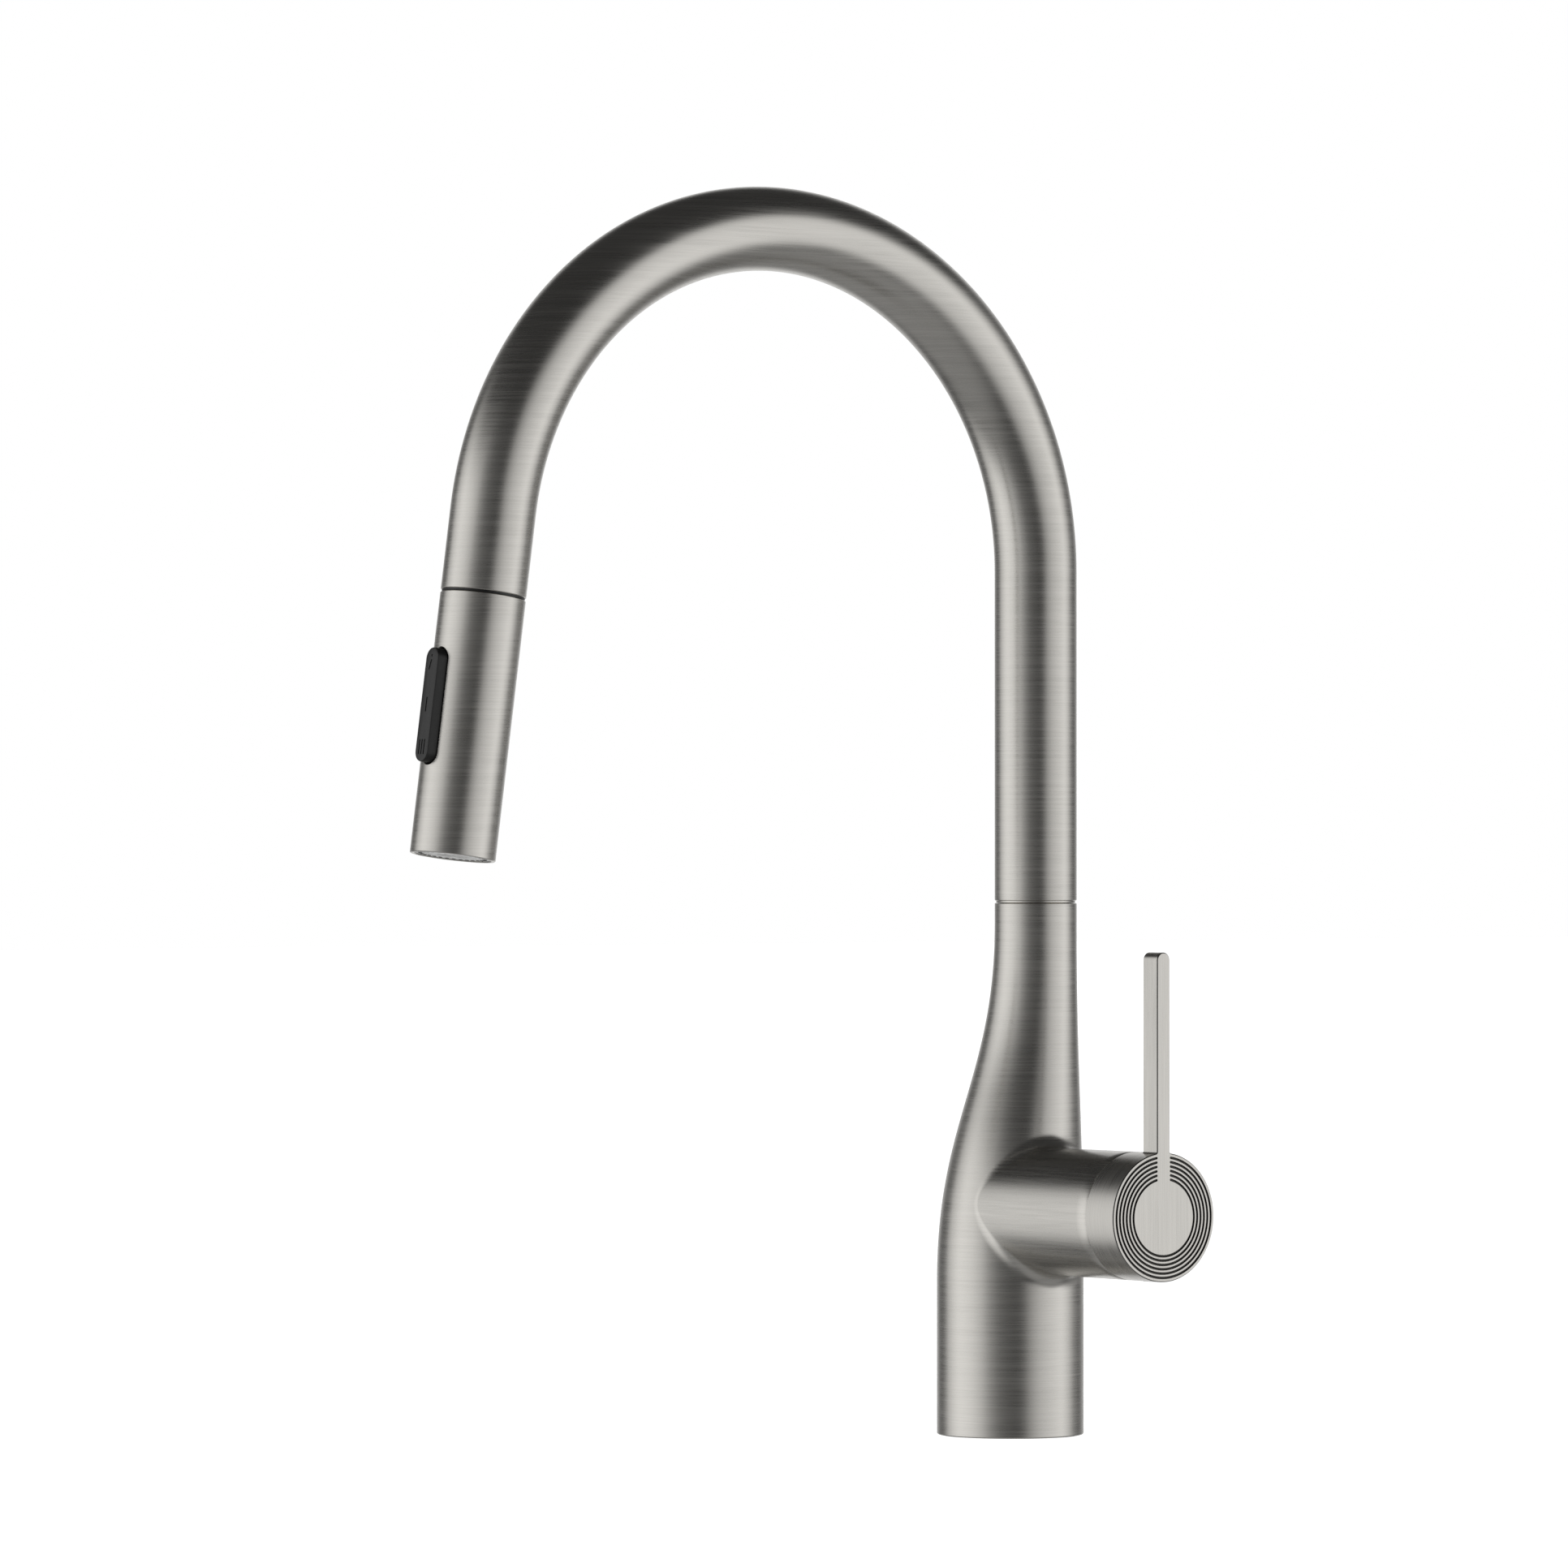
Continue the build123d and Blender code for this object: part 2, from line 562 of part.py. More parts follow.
def disc_frame():
    """The moving disc's own axis, below the handle axis while the lever is closed."""
    return BOSS * Pos(0, -DISC_REST_OFFSET, 0)


def moving_disc():
    """Ceramic slide with the mixing pocket that joins the ports when it moves up."""
    frame = disc_frame()
    solid = rod(frame, MOVING_DISC_X, CARRIER_X, MOVING_DISC_R)
    slot = SlotCenterToCenter(MIX_POCKET_LENGTH, MIX_POCKET_WIDTH)
    pocket = extrude(slot, MOVING_DISC_THICK / 2)
    return solid - frame * Pos(0, -MIX_POCKET_DROP, MOVING_DISC_X) * pocket


def disc_carrier():
    frame = disc_frame()
    solid = rod(frame, CARRIER_X, CARRIER_END_X, CARRIER_R)
    return solid - rod(BOSS, CARRIER_X, CARRIER_END_X, STEM_BALL_R + APART)


def cartridge_housing():
    """Outer cup of the cartridge; its neck carries the turret."""
    solid = rod(BOSS, FIXED_DISC_X, HOUSING_SHOULDER_X, HOUSING_R)
    solid += rod(BOSS, HOUSING_SHOULDER_X, NECK_END_X, HOUSING_NECK_R)
    solid -= rod(BOSS, FIXED_DISC_X, MOVING_DISC_X, FIXED_DISC_R)
    solid -= rod(BOSS, MOVING_DISC_X, FLANGE_END_X, HOUSING_BORE_R)
    return solid - rod(BOSS, FIXED_DISC_X, NECK_END_X, TURRET_R + RUNNING)


def turret():
    """Turns in the housing's neck with the lever and holds the tilt pin."""
    start = TURRET_START_X
    solid = rod(BOSS, start, start + TURRET_FLANGE_THICK, TURRET_FLANGE_R)
    solid += rod(BOSS, start, TURRET_END_X, TURRET_R)
    slot = (STEM_BODY_R + APART, STEM_SLOT_HALF)
    solid -= block(BOSS, (-slot[0], -slot[1], start), (slot[0], slot[1], TURRET_END_X))
    return solid - tilt_axis_rod(TURRET_R - PIN_INSET, PIN_R)


def tilt_axis_rod(half_length, radius):
    """A bar through the pivot along Y."""
    across = Plane(origin=(PIVOT_X, 0, BOSS_Z), x_dir=(1, 0, 0), z_dir=(0, 1, 0)).location
    return rod(across, -half_length, half_length, radius)


def stem_pin():
    return tilt_axis_rod(TURRET_R - PIN_INSET, PIN_R)


def stem():
    """Lever stem: a ball that pushes the carrier, the tilt bearing and the handle's square."""
    solid = ball(BOSS, PIVOT_X - BALL_ARM, STEM_BALL_R)
    solid += rod(BOSS, PIVOT_X - BALL_ARM, PIVOT_X, STEM_NECK_R)
    across = Plane(origin=(PIVOT_X, 0, BOSS_Z), x_dir=(1, 0, 0), z_dir=(0, 1, 0)).location
    solid += rod(across, -STEM_BODY_R, STEM_BODY_R, STEM_BODY_R)
    half = STEM_SQUARE / 2
    solid += block(BOSS, (-half, -half, PIVOT_X), (half, half, STEM_END_X))
    return solid - tilt_axis_rod(STEM_BODY_R, PIN_R + RUNNING)


def cartridge_nut():
    solid = ring(BOSS, HOUSING_SHOULDER_X, NUT_END_X, NUT_R, HOUSING_NECK_R)
    notch = Box(NUT_NOTCH, NUT_NOTCH, NUT_NOTCH, align=CENTRED)
    for i in range(NUT_NOTCHES):
        turned_frame = BOSS * Rot(0, 0, 360 * i / NUT_NOTCHES)
        solid -= turned_frame * Pos(HOUSING_NECK_R, 0, NUT_END_X) * notch
    return solid


def bonnet():
    """Domed ring under the handle, the male half of the ball seam."""
    solid = rod(BOSS, BONNET_START_X, PIVOT_X + DOME_R, BONNET_R) & ball(BOSS, PIVOT_X, DOME_R)
    solid -= rod(BOSS, BONNET_START_X, PIVOT_X + DOME_R, BONNET_HOLE_R)
    low, high = BONNET_SEAL_X - BONNET_SEAL_R, BONNET_SEAL_X + BONNET_SEAL_R
    return solid - ring(BOSS, low, high, BONNET_R, BONNET_R - 2 * BONNET_SEAL_R)


def bonnet_seal():
    return o_ring(BOSS, BONNET_SEAL_X, BONNET_R - BONNET_SEAL_R, BONNET_SEAL_R)


# ---- handle ------------------------------------------------------------------------------------
def lever_bar():
    """Flat bar with a half round tip, flush with the face of the cap."""
    half = LEVER_WIDTH / 2
    length = LEVER_TIP_Z - half - BOSS_Z
    bar = block(BOSS, (-half, 0, CAP_FACE_X - LEVER_DEPTH), (half, length, CAP_FACE_X))
    return bar + offset_rod(BOSS, (0, length), CAP_FACE_X - LEVER_DEPTH, CAP_FACE_X, half)


def face_grooves():
    """Open rings cut in the face; they stop beside the lever bar with round ends."""
    cuts = []
    bottom = CAP_FACE_X - GROOVE_DEPTH
    half = GROOVE_WIDTH / 2
    for i in range(GROOVE_COUNT):
        radius = GROOVE_FIRST_R + i * GROOVE_PITCH
        whole = ring(BOSS, bottom, CAP_FACE_X, radius + half, radius - half)
        stop = block(BOSS, (-GROOVE_GAP_HALF, 0, bottom), (GROOVE_GAP_HALF, BOSS_R, CAP_FACE_X))
        rise = sqrt(radius ** 2 - GROOVE_GAP_HALF ** 2)
        cuts.append(whole - stop)
        for side in (-GROOVE_GAP_HALF, GROOVE_GAP_HALF):
            cuts.append(offset_rod(BOSS, (side, rise), bottom, CAP_FACE_X, half))
    return cuts


def handle():
    solid = rod(BOSS, TURRET_END_X, CAP_FACE_X, BOSS_R) + lever_bar()
    roots = [e for e in solid.edges() if on_lever_root(e)]
    solid = fillet(roots, LEVER_ROOT_FILLET)
    solid -= ball(BOSS, PIVOT_X, CAP_INNER_R)
    solid -= seam_bevel(CAP_INNER_R, 1)
    solid += rod(BOSS, HUB_START_X, CAP_FACE_X - HUB_OVERLAP, HUB_R)
    half = STEM_SQUARE / 2
    solid -= block(BOSS, (-half, -half, HUB_START_X), (half, half, STEM_END_X))
    for cut in face_grooves():
        solid -= cut
    solid -= screw_line(0, BOSS_R + 1, SCREW_R)
    return solid - screw_line(BOSS_R - PLUG_LENGTH, BOSS_R + 1, PLUG_R)


def on_lever_root(edge):
    """Edges where the sides of the lever bar meet the rim of the cap."""
    middle = edge @ 0.5
    across = sqrt(middle.Y ** 2 + (middle.Z - BOSS_Z) ** 2)
    beside = abs(abs(middle.Y) - LEVER_WIDTH / 2) < 0.05
    return beside and abs(across - BOSS_R) < 0.05 and middle.Z > BOSS_Z


def screw_line(start, end, radius):
    """A bar straight down from the stem, for the set screw and its plug."""
    down = Plane(origin=(SCREW_X, 0, BOSS_Z), x_dir=(1, 0, 0), z_dir=(0, 0, -1)).location
    return rod(down, start, end, radius)


def handle_set_screw():
    tip = STEM_SQUARE / 2
    solid = screw_line(tip, tip + SCREW_LENGTH, SCREW_R)
    down = Plane(origin=(SCREW_X, 0, BOSS_Z), x_dir=(1, 0, 0), z_dir=(0, 0, -1)).location
    key = extrude(RegularPolygon(SCREW_KEY_R, 6), SCREW_KEY_DEPTH)
    return solid - down * Pos(0, 0, HUB_R - SCREW_KEY_DEPTH) * key


def handle_plug():
    return screw_line(BOSS_R - PLUG_LENGTH, BOSS_R + 1, PLUG_R) & rod(BOSS, SEAM_X, CAP_FACE_X, BOSS_R)


# ---- spout -------------------------------------------------------------------------------------
def spout_path(start_z, end_s):
    """Column line, gooseneck arc and the straight run down to the dock."""
    column = Line((0, COLUMN_Y, start_z), (0, COLUMN_Y, ARC_Z))
    top = ThreePointArc(column @ 1, arc_point(ARC_SWEEP / 2), ARC_END)
    return column + top + Line(ARC_END, along_spray(end_s))


def arc_point(angle):
    """A point of the gooseneck's centreline, counted in degrees from the column."""
    turn = radians(angle)
    return (0, ARC_CENTRE_Y + REACH_RADIUS * cos(turn), ARC_Z + REACH_RADIUS * sin(turn))


def along_spray(distance):
    return tuple(a + distance * b for a, b in zip(ARC_END, SPRAY_DIRECTION))


def swept(path, start, radius):
    return sweep(Pos(*start) * Circle(radius), path=path)


def spout_tube():
    start = (0, COLUMN_Y, SPOUT_START)
    path = spout_path(SPOUT_START, DOCK_START)
    return swept(path, start, TUBE_R) - swept(path, start, TUBE_BORE)


def spout_spigot():
    """Brass tail of the spout that turns in the neck."""
    solid = rod(COLUMN, SPOUT_START, SPIGOT_TOP, TUBE_BORE)
    solid += rod(COLUMN, SPIGOT_BOTTOM, SPOUT_START, SPIGOT_R)
    low = LOCK_SCREW_Z - LOCK_SCREW_R - APART
    high = LOCK_SCREW_Z + LOCK_SCREW_R + APART
    solid -= ring(COLUMN, low, high, SPIGOT_R, SPIGOT_R - LOCK_GROOVE_DEPTH)
    half = SPIGOT_RING_SECTION + RING_GROOVE_ROOM
    floor = SOCKET_R - RUNNING - 2 * SPIGOT_RING_SECTION
    solid -= ring(COLUMN, SPIGOT_RING_Z - half, SPIGOT_RING_Z + half, SPIGOT_R, floor)
    return solid - rod(COLUMN, SPIGOT_BOTTOM, SPIGOT_TOP, SPIGOT_BORE_R)


def spigot_o_ring():
    middle = SOCKET_R - RUNNING - SPIGOT_RING_SECTION
    return o_ring(COLUMN, SPIGOT_RING_Z, middle, SPIGOT_RING_SECTION)


def swivel_ring():
    """Glide ring in the seam between neck and spout."""
    return ring(COLUMN, NECK_TOP + FACE_GAP, SPOUT_START, SWIVEL_RING_R, SPIGOT_R)


def swivel_bush(start):
    return ring(COLUMN, start, start + BUSH_LENGTH, SOCKET_R, SPIGOT_R + RUNNING)


def hose_guide():
    """Ring that keeps the hose off the edge of the dock; its mouth is flared."""
    mouth = (GUIDE_BORE_R + GUIDE_MOUTH, GUIDE_START)
    profile = [mouth, (TUBE_BORE, GUIDE_START), (TUBE_BORE, GUIDE_END)]
    profile += [(GUIDE_BORE_R, GUIDE_END), (GUIDE_BORE_R, GUIDE_START + GUIDE_MOUTH)]
    return turned(HEAD, profile)


def dock_collar():
    """Black dock: the thin ring seen under the spout and the sleeve that takes the hose nut."""
    end = DOCK_START + DOCK_RING_THICK
    solid = rod(HEAD, DOCK_START, end, DOCK_RING_R) + rod(HEAD, COLLAR_START, DOCK_START, TUBE_BORE)
    solid -= rod(HEAD, COLLAR_START, end, DOCK_BORE_R)
    return solid - ring(HEAD, COLLAR_START, MAGNET_END, MAGNET_OUTER_R, MAGNET_INNER_R)


def dock_magnet():
    return ring(HEAD, MAGNET_START, MAGNET_END, MAGNET_OUTER_R, MAGNET_INNER_R)


# ---- hose --------------------------------------------------------------------------------------
def hose_path():
    """Up the column and over the arc, leaving its centreline to meet the straight end stretch."""
    column = Line((0, COLUMN_Y, TAIL_BOTTOM + TAIL_FLOOR), (0, COLUMN_Y, ARC_Z))
    leave = ARC_SWEEP - HOSE_LEAVE
    arc = ThreePointArc(column @ 1, arc_point(leave / 2), arc_point(leave))
    finish = along_spray(STUB_START - HOSE_CUT_GAP)
    last = Spline(arc @ 1, finish, tangents=(arc % 1, SPRAY_DIRECTION))
    return column + arc + last


def spray_hose():
    path = hose_path()
    start = (0, COLUMN_Y, TAIL_BOTTOM + TAIL_FLOOR)
    return swept(path, start, HOSE_R) - swept(path, start, HOSE_BORE)


def hose_tail_ferrule():
    """Crimped end of the hose inside the foot, where the loop under the worktop joins on."""
    solid = rod(COLUMN, TAIL_BOTTOM, TAIL_FERRULE_TOP, TAIL_FERRULE_R)
    solid -= rod(COLUMN, TAIL_BOTTOM + TAIL_FLOOR, TAIL_FERRULE_TOP, HOSE_R)
    return solid - rod(COLUMN, TAIL_BOTTOM, TAIL_FERRULE_TOP, HOSE_BORE)


def hose_end():
    return ring(HEAD, STUB_START, FERRULE_END, HOSE_R, HOSE_BORE)


def hose_ferrule():
    """Crimp sleeve that ends in the ball the spray head swivels on."""
    sleeve = ring(HEAD, FERRULE_START, FERRULE_END, FERRULE_R, HOSE_R)
    sleeve += rod(HEAD, FERRULE_END, FERRULE_END + FERRULE_CAP, FERRULE_R)
    sleeve += rod(HEAD, FERRULE_END, SWIVEL_BALL_S, SWIVEL_NECK_R)
    flat_end = rod(HEAD, SWIVEL_BALL_S - NIPPLE_R, WASHER_START - FACE_GAP, NIPPLE_R)
    knob = ball(HEAD, SWIVEL_BALL_S, SWIVEL_BALL_R) & flat_end
    return sleeve + knob - rod(HEAD, FERRULE_END, WASHER_START, WATERWAY_R)


# ---- spray head --------------------------------------------------------------------------------
def swivel_nut():
    """Tapered nut that holds the ball and screws onto the head's inlet."""
    neck = SWIVEL_NECK_R + APART
    profile = [(neck, NUT_CONE_START), (NUT_CONE_R, NUT_CONE_START)]
    profile.append((SWIVEL_NUT_R, NUT_CONE_START + NUT_CONE_LENGTH))
    profile += [(SWIVEL_NUT_R, HEAD_NUT_END), (NIPPLE_R, HEAD_NUT_END), (NIPPLE_R, WASHER_START)]
    profile += [(neck, WASHER_START)]
    solid = turned(HEAD, profile)
    solid -= ball(HEAD, SWIVEL_BALL_S, SWIVEL_BALL_R + RUNNING)
    return solid - rod(HEAD, SWIVEL_BALL_S, WASHER_START, SWIVEL_BALL_R + RUNNING)


def inlet_washer():
    return ring(HEAD, WASHER_START, NIPPLE_START, NIPPLE_R, WATERWAY_R)


def check_valve():
    """One way valve in the inlet of the waterway."""
    start = NIPPLE_START + VALVE_STEP
    seat_end = start + VALVE_SEAT_THICK
    bore = VALVE_BODY_BORE_R
    body = ring(HEAD, start, CHECK_VALVE_END, VALVE_BORE_R, bore)
    seat = ring(HEAD, start, seat_end, bore, VALVE_SEAT_R)
    bridge = CHECK_VALVE_END - CROSS_THICK / 2
    low, high = (-bore, -CROSS_HALF, bridge - CROSS_THICK), (bore, CROSS_HALF, bridge)
    poppet = rod(HEAD, seat_end, seat_end + POPPET_THICK, POPPET_R)
    poppet += rod(HEAD, seat_end + POPPET_THICK, bridge, POPPET_STEM_R)
    return body + seat + block(HEAD, low, high) + poppet


def head_ring():
    """Plastic ring in the top of the head with the pocket for its magnet."""
    start, pocket_end = HEAD_START + RING_DEPTH, HEAD_START + HEAD_MAGNET_END
    solid = ring(HEAD, start, HEAD_NUT_END, SHELL_BORE, SWIVEL_NUT_R + APART / 2)
    return solid - ring(HEAD, start, pocket_end, MAGNET_OUTER_R, MAGNET_INNER_R)


def head_magnet():
    start, end = HEAD_START + HEAD_MAGNET_DEPTH, HEAD_START + HEAD_MAGNET_END
    return ring(HEAD, start, end, MAGNET_OUTER_R, MAGNET_INNER_R)


def waterway_core():
    """Plastic core that carries the water from the inlet to the diverter and the face."""
    solid = rod(HEAD, NIPPLE_START, HEAD_NUT_END, NIPPLE_R)
    solid += rod(HEAD, HEAD_NUT_END, CORE_FLANGE_END, SHELL_BORE)
    solid += rod(HEAD, CORE_FLANGE_END, CORE_FOOT_START, CORE_R)
    solid += rod(HEAD, CORE_FOOT_START, CORE_END, SHELL_BORE)
    for ear in button_ears():
        solid += ear
    solid -= rod(HEAD, NIPPLE_START, CHECK_VALVE_END, VALVE_BORE_R)
    solid -= rod(HEAD, CHECK_VALVE_END, CORE_END, SPOOL_BORE_R)
    solid -= button_axis_rod(ear_reach(), BUTTON_PIN_R)
    for at in around(DIVIDER_HOLES, NOZZLE_RING_R):
        solid -= offset_rod(HEAD, at, CORE_END - FEED_DEPTH, CORE_END, DIVIDER_HOLE_R)
    feed = CORE_END - FEED_DEPTH
    solid -= ring(HEAD, feed, feed + FEED_THICK, NOZZLE_RING_R, SPOOL_BORE_R)
    for room in button_room():
        solid -= room
    return solid


def ear_reach():
    """Outer face of the ears that hold the button's pin."""
    return BUTTON_HUB_WIDTH / 2 + APART + EAR_THICK


def button_ears():
    inner, outer = ear_reach() - EAR_THICK, ear_reach()
    low, high = BUTTON_MIDDLE - EAR_LENGTH / 2, BUTTON_MIDDLE + EAR_LENGTH / 2
    top = BUTTON_PIVOT + EAR_RISE
    return [block(HEAD, (side * inner, 0, low), (side * outer, top, high)) for side in (-1, 1)]


def button_room():
    """Slot for the button's finger and the flat under its pivot block."""
    half = FINGER_WIDTH / 2 + APART
    travel = FINGER_THICK / 2 + FINGER_TRAVEL
    inner = ear_reach() - EAR_THICK
    top = CORE_R + FACE_GAP
    slot = block(HEAD, (-half, 0, BUTTON_MIDDLE - travel), (half, top, BUTTON_MIDDLE + travel))
    low = (-inner, CORE_R - FLAT_DEPTH, BUTTON_MIDDLE - FLAT_HALF)
    return slot, block(HEAD, low, (inner, top, BUTTON_MIDDLE + FLAT_HALF))


def button_axis_rod(half_length, radius):
    """A bar along X through the middle of the button."""
    across = HEAD * Pos(0, BUTTON_PIVOT, BUTTON_MIDDLE) * Rot(0, 90, 0)
    return rod(across, -half_length, half_length, radius)


def button_pin():
    return button_axis_rod(ear_reach(), BUTTON_PIN_R)


def diverter_spool():
    """Slides along the axis; the button's finger sits between its two middle collars."""
    middle = BUTTON_MIDDLE
    land = SPOOL_BORE_R - RUNNING
    solid = rod(HEAD, middle - SPOOL_HALF, middle + SPOOL_HALF, SPOOL_STEM_R)
    half = SPOOL_RING_R + SPOOL_RING_ROOM
    for side in (-1, 1):
        inner = middle + side * SPOOL_GROOVE_HALF
        outer = middle + side * SPOOL_LAND_END
        solid += rod(HEAD, min(inner, outer), max(inner, outer), land)
        groove = middle + side * SPOOL_RING_AT
        solid -= ring(HEAD, groove - half, groove + half, land, land - 2 * SPOOL_RING_R)
    return solid


def spool_o_rings():
    middle = SPOOL_BORE_R - RUNNING - SPOOL_RING_R
    places = (BUTTON_MIDDLE - SPOOL_RING_AT, BUTTON_MIDDLE + SPOOL_RING_AT)
    return Compound([o_ring(HEAD, place, middle, SPOOL_RING_R) for place in places])


def pill(width, length, start, end):
    """A bar with half round ends that stands out of the side of the head."""
    outward = HEAD * Pos(0, 0, BUTTON_MIDDLE) * Rot(-90, 0, 0) * Rot(0, 0, 90)
    shape = extrude(SlotOverall(length, width), end - start)
    return outward * Pos(0, 0, start) * shape


def button():
    """Two way rocker: marked plate, pivot block and the finger that drives the spool."""
    plate = pill(BUTTON_WIDTH, BUTTON_LENGTH, BUTTON_BACK, BUTTON_FACE)
    front = plate.faces().sort_by(Axis((0, 0, 0), tuple(-a for a in spray_side())))[0]
    plate = chamfer(front.edges(), BUTTON_EDGE)
    half = BUTTON_HUB_LENGTH / 2
    wide = BUTTON_HUB_WIDTH / 2
    low = BUTTON_PIVOT - BUTTON_HUB_DROP
    hub_end = (wide, BUTTON_BACK, BUTTON_MIDDLE + half)
    solid = plate + block(HEAD, (-wide, low, BUTTON_MIDDLE - half), hub_end)
    thick = FINGER_THICK / 2
    side = FINGER_WIDTH / 2
    solid += block(HEAD, (-side, FINGER_TIP, BUTTON_MIDDLE - thick), (side, low, BUTTON_MIDDLE + thick))
    solid -= button_axis_rod(wide, BUTTON_PIN_R + RUNNING)
    for mark in button_marks():
        solid -= mark
    return solid


def spray_side():
    """Direction the button faces."""
    return (0, -cos(TILT), sin(TILT))


def button_marks():
    """Plain engraved strokes: a dot and a wedge above, one line in the middle, three bars below."""
    low = BUTTON_FACE - MARK_DEPTH
    top = BUTTON_FACE + 1
    first, last = BUTTON_MIDDLE - BUTTON_LENGTH / 2, BUTTON_MIDDLE + BUTTON_LENGTH / 2
    outward = Rot(-90, 0, 0) * Pos(0, 0, low)
    dot = Cylinder(DOT_R, 1 + MARK_DEPTH, align=STANDING)
    marks = [HEAD * Pos(0, 0, first + DOT_INSET) * outward * dot]
    wide, long = LINE_WIDTH / 2, LINE_LENGTH / 2
    marks.append(block(HEAD, (-wide, low, BUTTON_MIDDLE - long), (wide, top, BUTTON_MIDDLE + long)))
    start, end, half = last - BAR_INSET - BAR_LENGTH, last - BAR_INSET, BAR_WIDTH / 2
    for x in (-BAR_PITCH, 0, BAR_PITCH):
        marks.append(block(HEAD, (x - half, low, start), (x + half, top, end)))
    slant = Plane(origin=along_spray(first + WEDGE_INSET), x_dir=(1, 0, 0), z_dir=spray_side()).location
    marks.append(slant * Pos(0, 0, low) * extrude(Polygon(*WEDGE), 1 + MARK_DEPTH))
    return marks


def spray_shell():
    solid = ring(HEAD, HEAD_START, HEAD_END, TUBE_R, SHELL_BORE)
    width = BUTTON_WIDTH + 2 * BUTTON_SIDE_GAP
    length = BUTTON_LENGTH + 2 * BUTTON_END_GAP
    return solid - pill(width, length, SHELL_BORE / 2, BUTTON_FACE)


def flow_divider():
    """Splits the water between the centre stream and the ring of spray nozzles."""
    solid = ring(HEAD, CORE_END, DIVIDER_END, SHELL_BORE, SPOOL_BORE_R)
    for at in around(DIVIDER_HOLES, NOZZLE_RING_R):
        solid -= offset_rod(HEAD, at, CORE_END, DIVIDER_END, DIVIDER_HOLE_R)
    return solid


def face_plate():
    end = HEAD_END - FACE_INSET
    solid = ring(HEAD, end - FACE_THICK, end, SHELL_BORE, AERATOR_R)
    for at in around(NOZZLE_COUNT, NOZZLE_RING_R):
        solid -= offset_rod(HEAD, at, end - FACE_THICK, end, NOZZLE_R)
    return solid


def spray_nozzles():
    """Soft nozzle pad: one ring behind the face with a nub through every hole."""
    end = HEAD_END - FACE_INSET
    back = end - FACE_THICK
    solid = ring(HEAD, back - NOZZLE_PAD_THICK, back, SHELL_BORE, NOZZLE_RING_R - NOZZLE_PAD_MARGIN)
    for at in around(NOZZLE_COUNT, NOZZLE_RING_R):
        solid += offset_rod(HEAD, at, back, end + FACE_INSET / 2, NOZZLE_R)
    for at in around(NOZZLE_COUNT, NOZZLE_RING_R):
        solid -= offset_rod(HEAD, at, back - NOZZLE_PAD_THICK, end + FACE_INSET, NOZZLE_R / 2)
    return solid


def aerator_housing():
    """Round outlet in the middle of the face, closed by a slotted grille."""
    end = HEAD_END - FACE_INSET
    bore = AERATOR_R - AERATOR_WALL
    solid = ring(HEAD, DIVIDER_END, end, AERATOR_R, bore)
    grille = rod(HEAD, end - GRILLE_THICK, end, bore)
    half = AERATOR_SLOT_WIDTH / 2
    for i in range(AERATOR_SLOTS):
        middle = (i - (AERATOR_SLOTS - 1) / 2) * 2 * AERATOR_SLOT_WIDTH
        reach = sqrt((bore - GRILLE_MARGIN) ** 2 - middle ** 2)
        low, high = (middle - half, -reach, end - GRILLE_THICK), (middle + half, reach, end)
        grille -= block(HEAD, low, high)
    return solid + grille


def aerator_screens():
    """Two perforated discs that mix air into the stream."""
    discs = []
    for start in (DIVIDER_END + SCREEN_STEP, DIVIDER_END + 2 * SCREEN_STEP):
        disc = rod(HEAD, start, start + SCREEN_THICK, AERATOR_R - AERATOR_WALL)
        for radius, count in SCREEN_RINGS:
            for at in around(count, radius):
                disc -= offset_rod(HEAD, at, start, start + SCREEN_THICK, SCREEN_HOLE_R)
        discs.append(disc)
    return Compound(discs)


PIECES = {
    "body_casting": body_casting,
    "base_gasket": base_gasket,
    "spout_lock_screw": spout_lock_screw,
    "cartridge_base": cartridge_base,
    "port_seals": port_seals,
    "fixed_disc": fixed_disc,
    "cartridge_housing": cartridge_housing,
    "cartridge_nut": cartridge_nut,
    "bonnet": bonnet,
    "bonnet_seal": bonnet_seal,
    "moving_disc": moving_disc,
    "disc_carrier": disc_carrier,
    "turret": turret,
    "stem_pin": stem_pin,
    "stem": stem,
    "handle": handle,
    "handle_set_screw": handle_set_screw,
    "handle_plug": handle_plug,
    "spout_tube": spout_tube,
    "spout_spigot": spout_spigot,
    "spigot_o_ring": spigot_o_ring,
    "swivel_ring": swivel_ring,
    "hose_guide": hose_guide,
    "dock_collar": dock_collar,
    "dock_magnet": dock_magnet,
    "spray_hose": spray_hose,
    "hose_tail_ferrule": hose_tail_ferrule,
    "hose_end": hose_end,
    "hose_ferrule": hose_ferrule,
    "swivel_nut": swivel_nut,
    "inlet_washer": inlet_washer,
    "check_valve": check_valve,
    "head_ring": head_ring,
    "head_magnet": head_magnet,
    "waterway_core": waterway_core,
    "button_pin": button_pin,
    "diverter_spool": diverter_spool,
    "spool_o_rings": spool_o_rings,
    "button": button,
    "spray_shell": spray_shell,
    "flow_divider": flow_divider,
    "face_plate": face_plate,
    "spray_nozzles": spray_nozzles,
    "aerator_housing": aerator_housing,
    "aerator_screens": aerator_screens,
}


def main():
    os.makedirs("parts", exist_ok=True)
    for name, make in PIECES.items():
        save(name, make())
    save("swivel_bush_lower", swivel_bush(SPIGOT_BOTTOM + BUSH_STEP))
    save("swivel_bush_upper", swivel_bush(NECK_TOP - BUSH_LENGTH))


main()
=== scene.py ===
# %% [markdown]
# # A pull down kitchen faucet
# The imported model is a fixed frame: every piece below is put where the frame says, in metres.
# The visible skins are new surfaces worked out with numpy, and each one stands for one CAD node.

# %% Load the frame
import json
import math

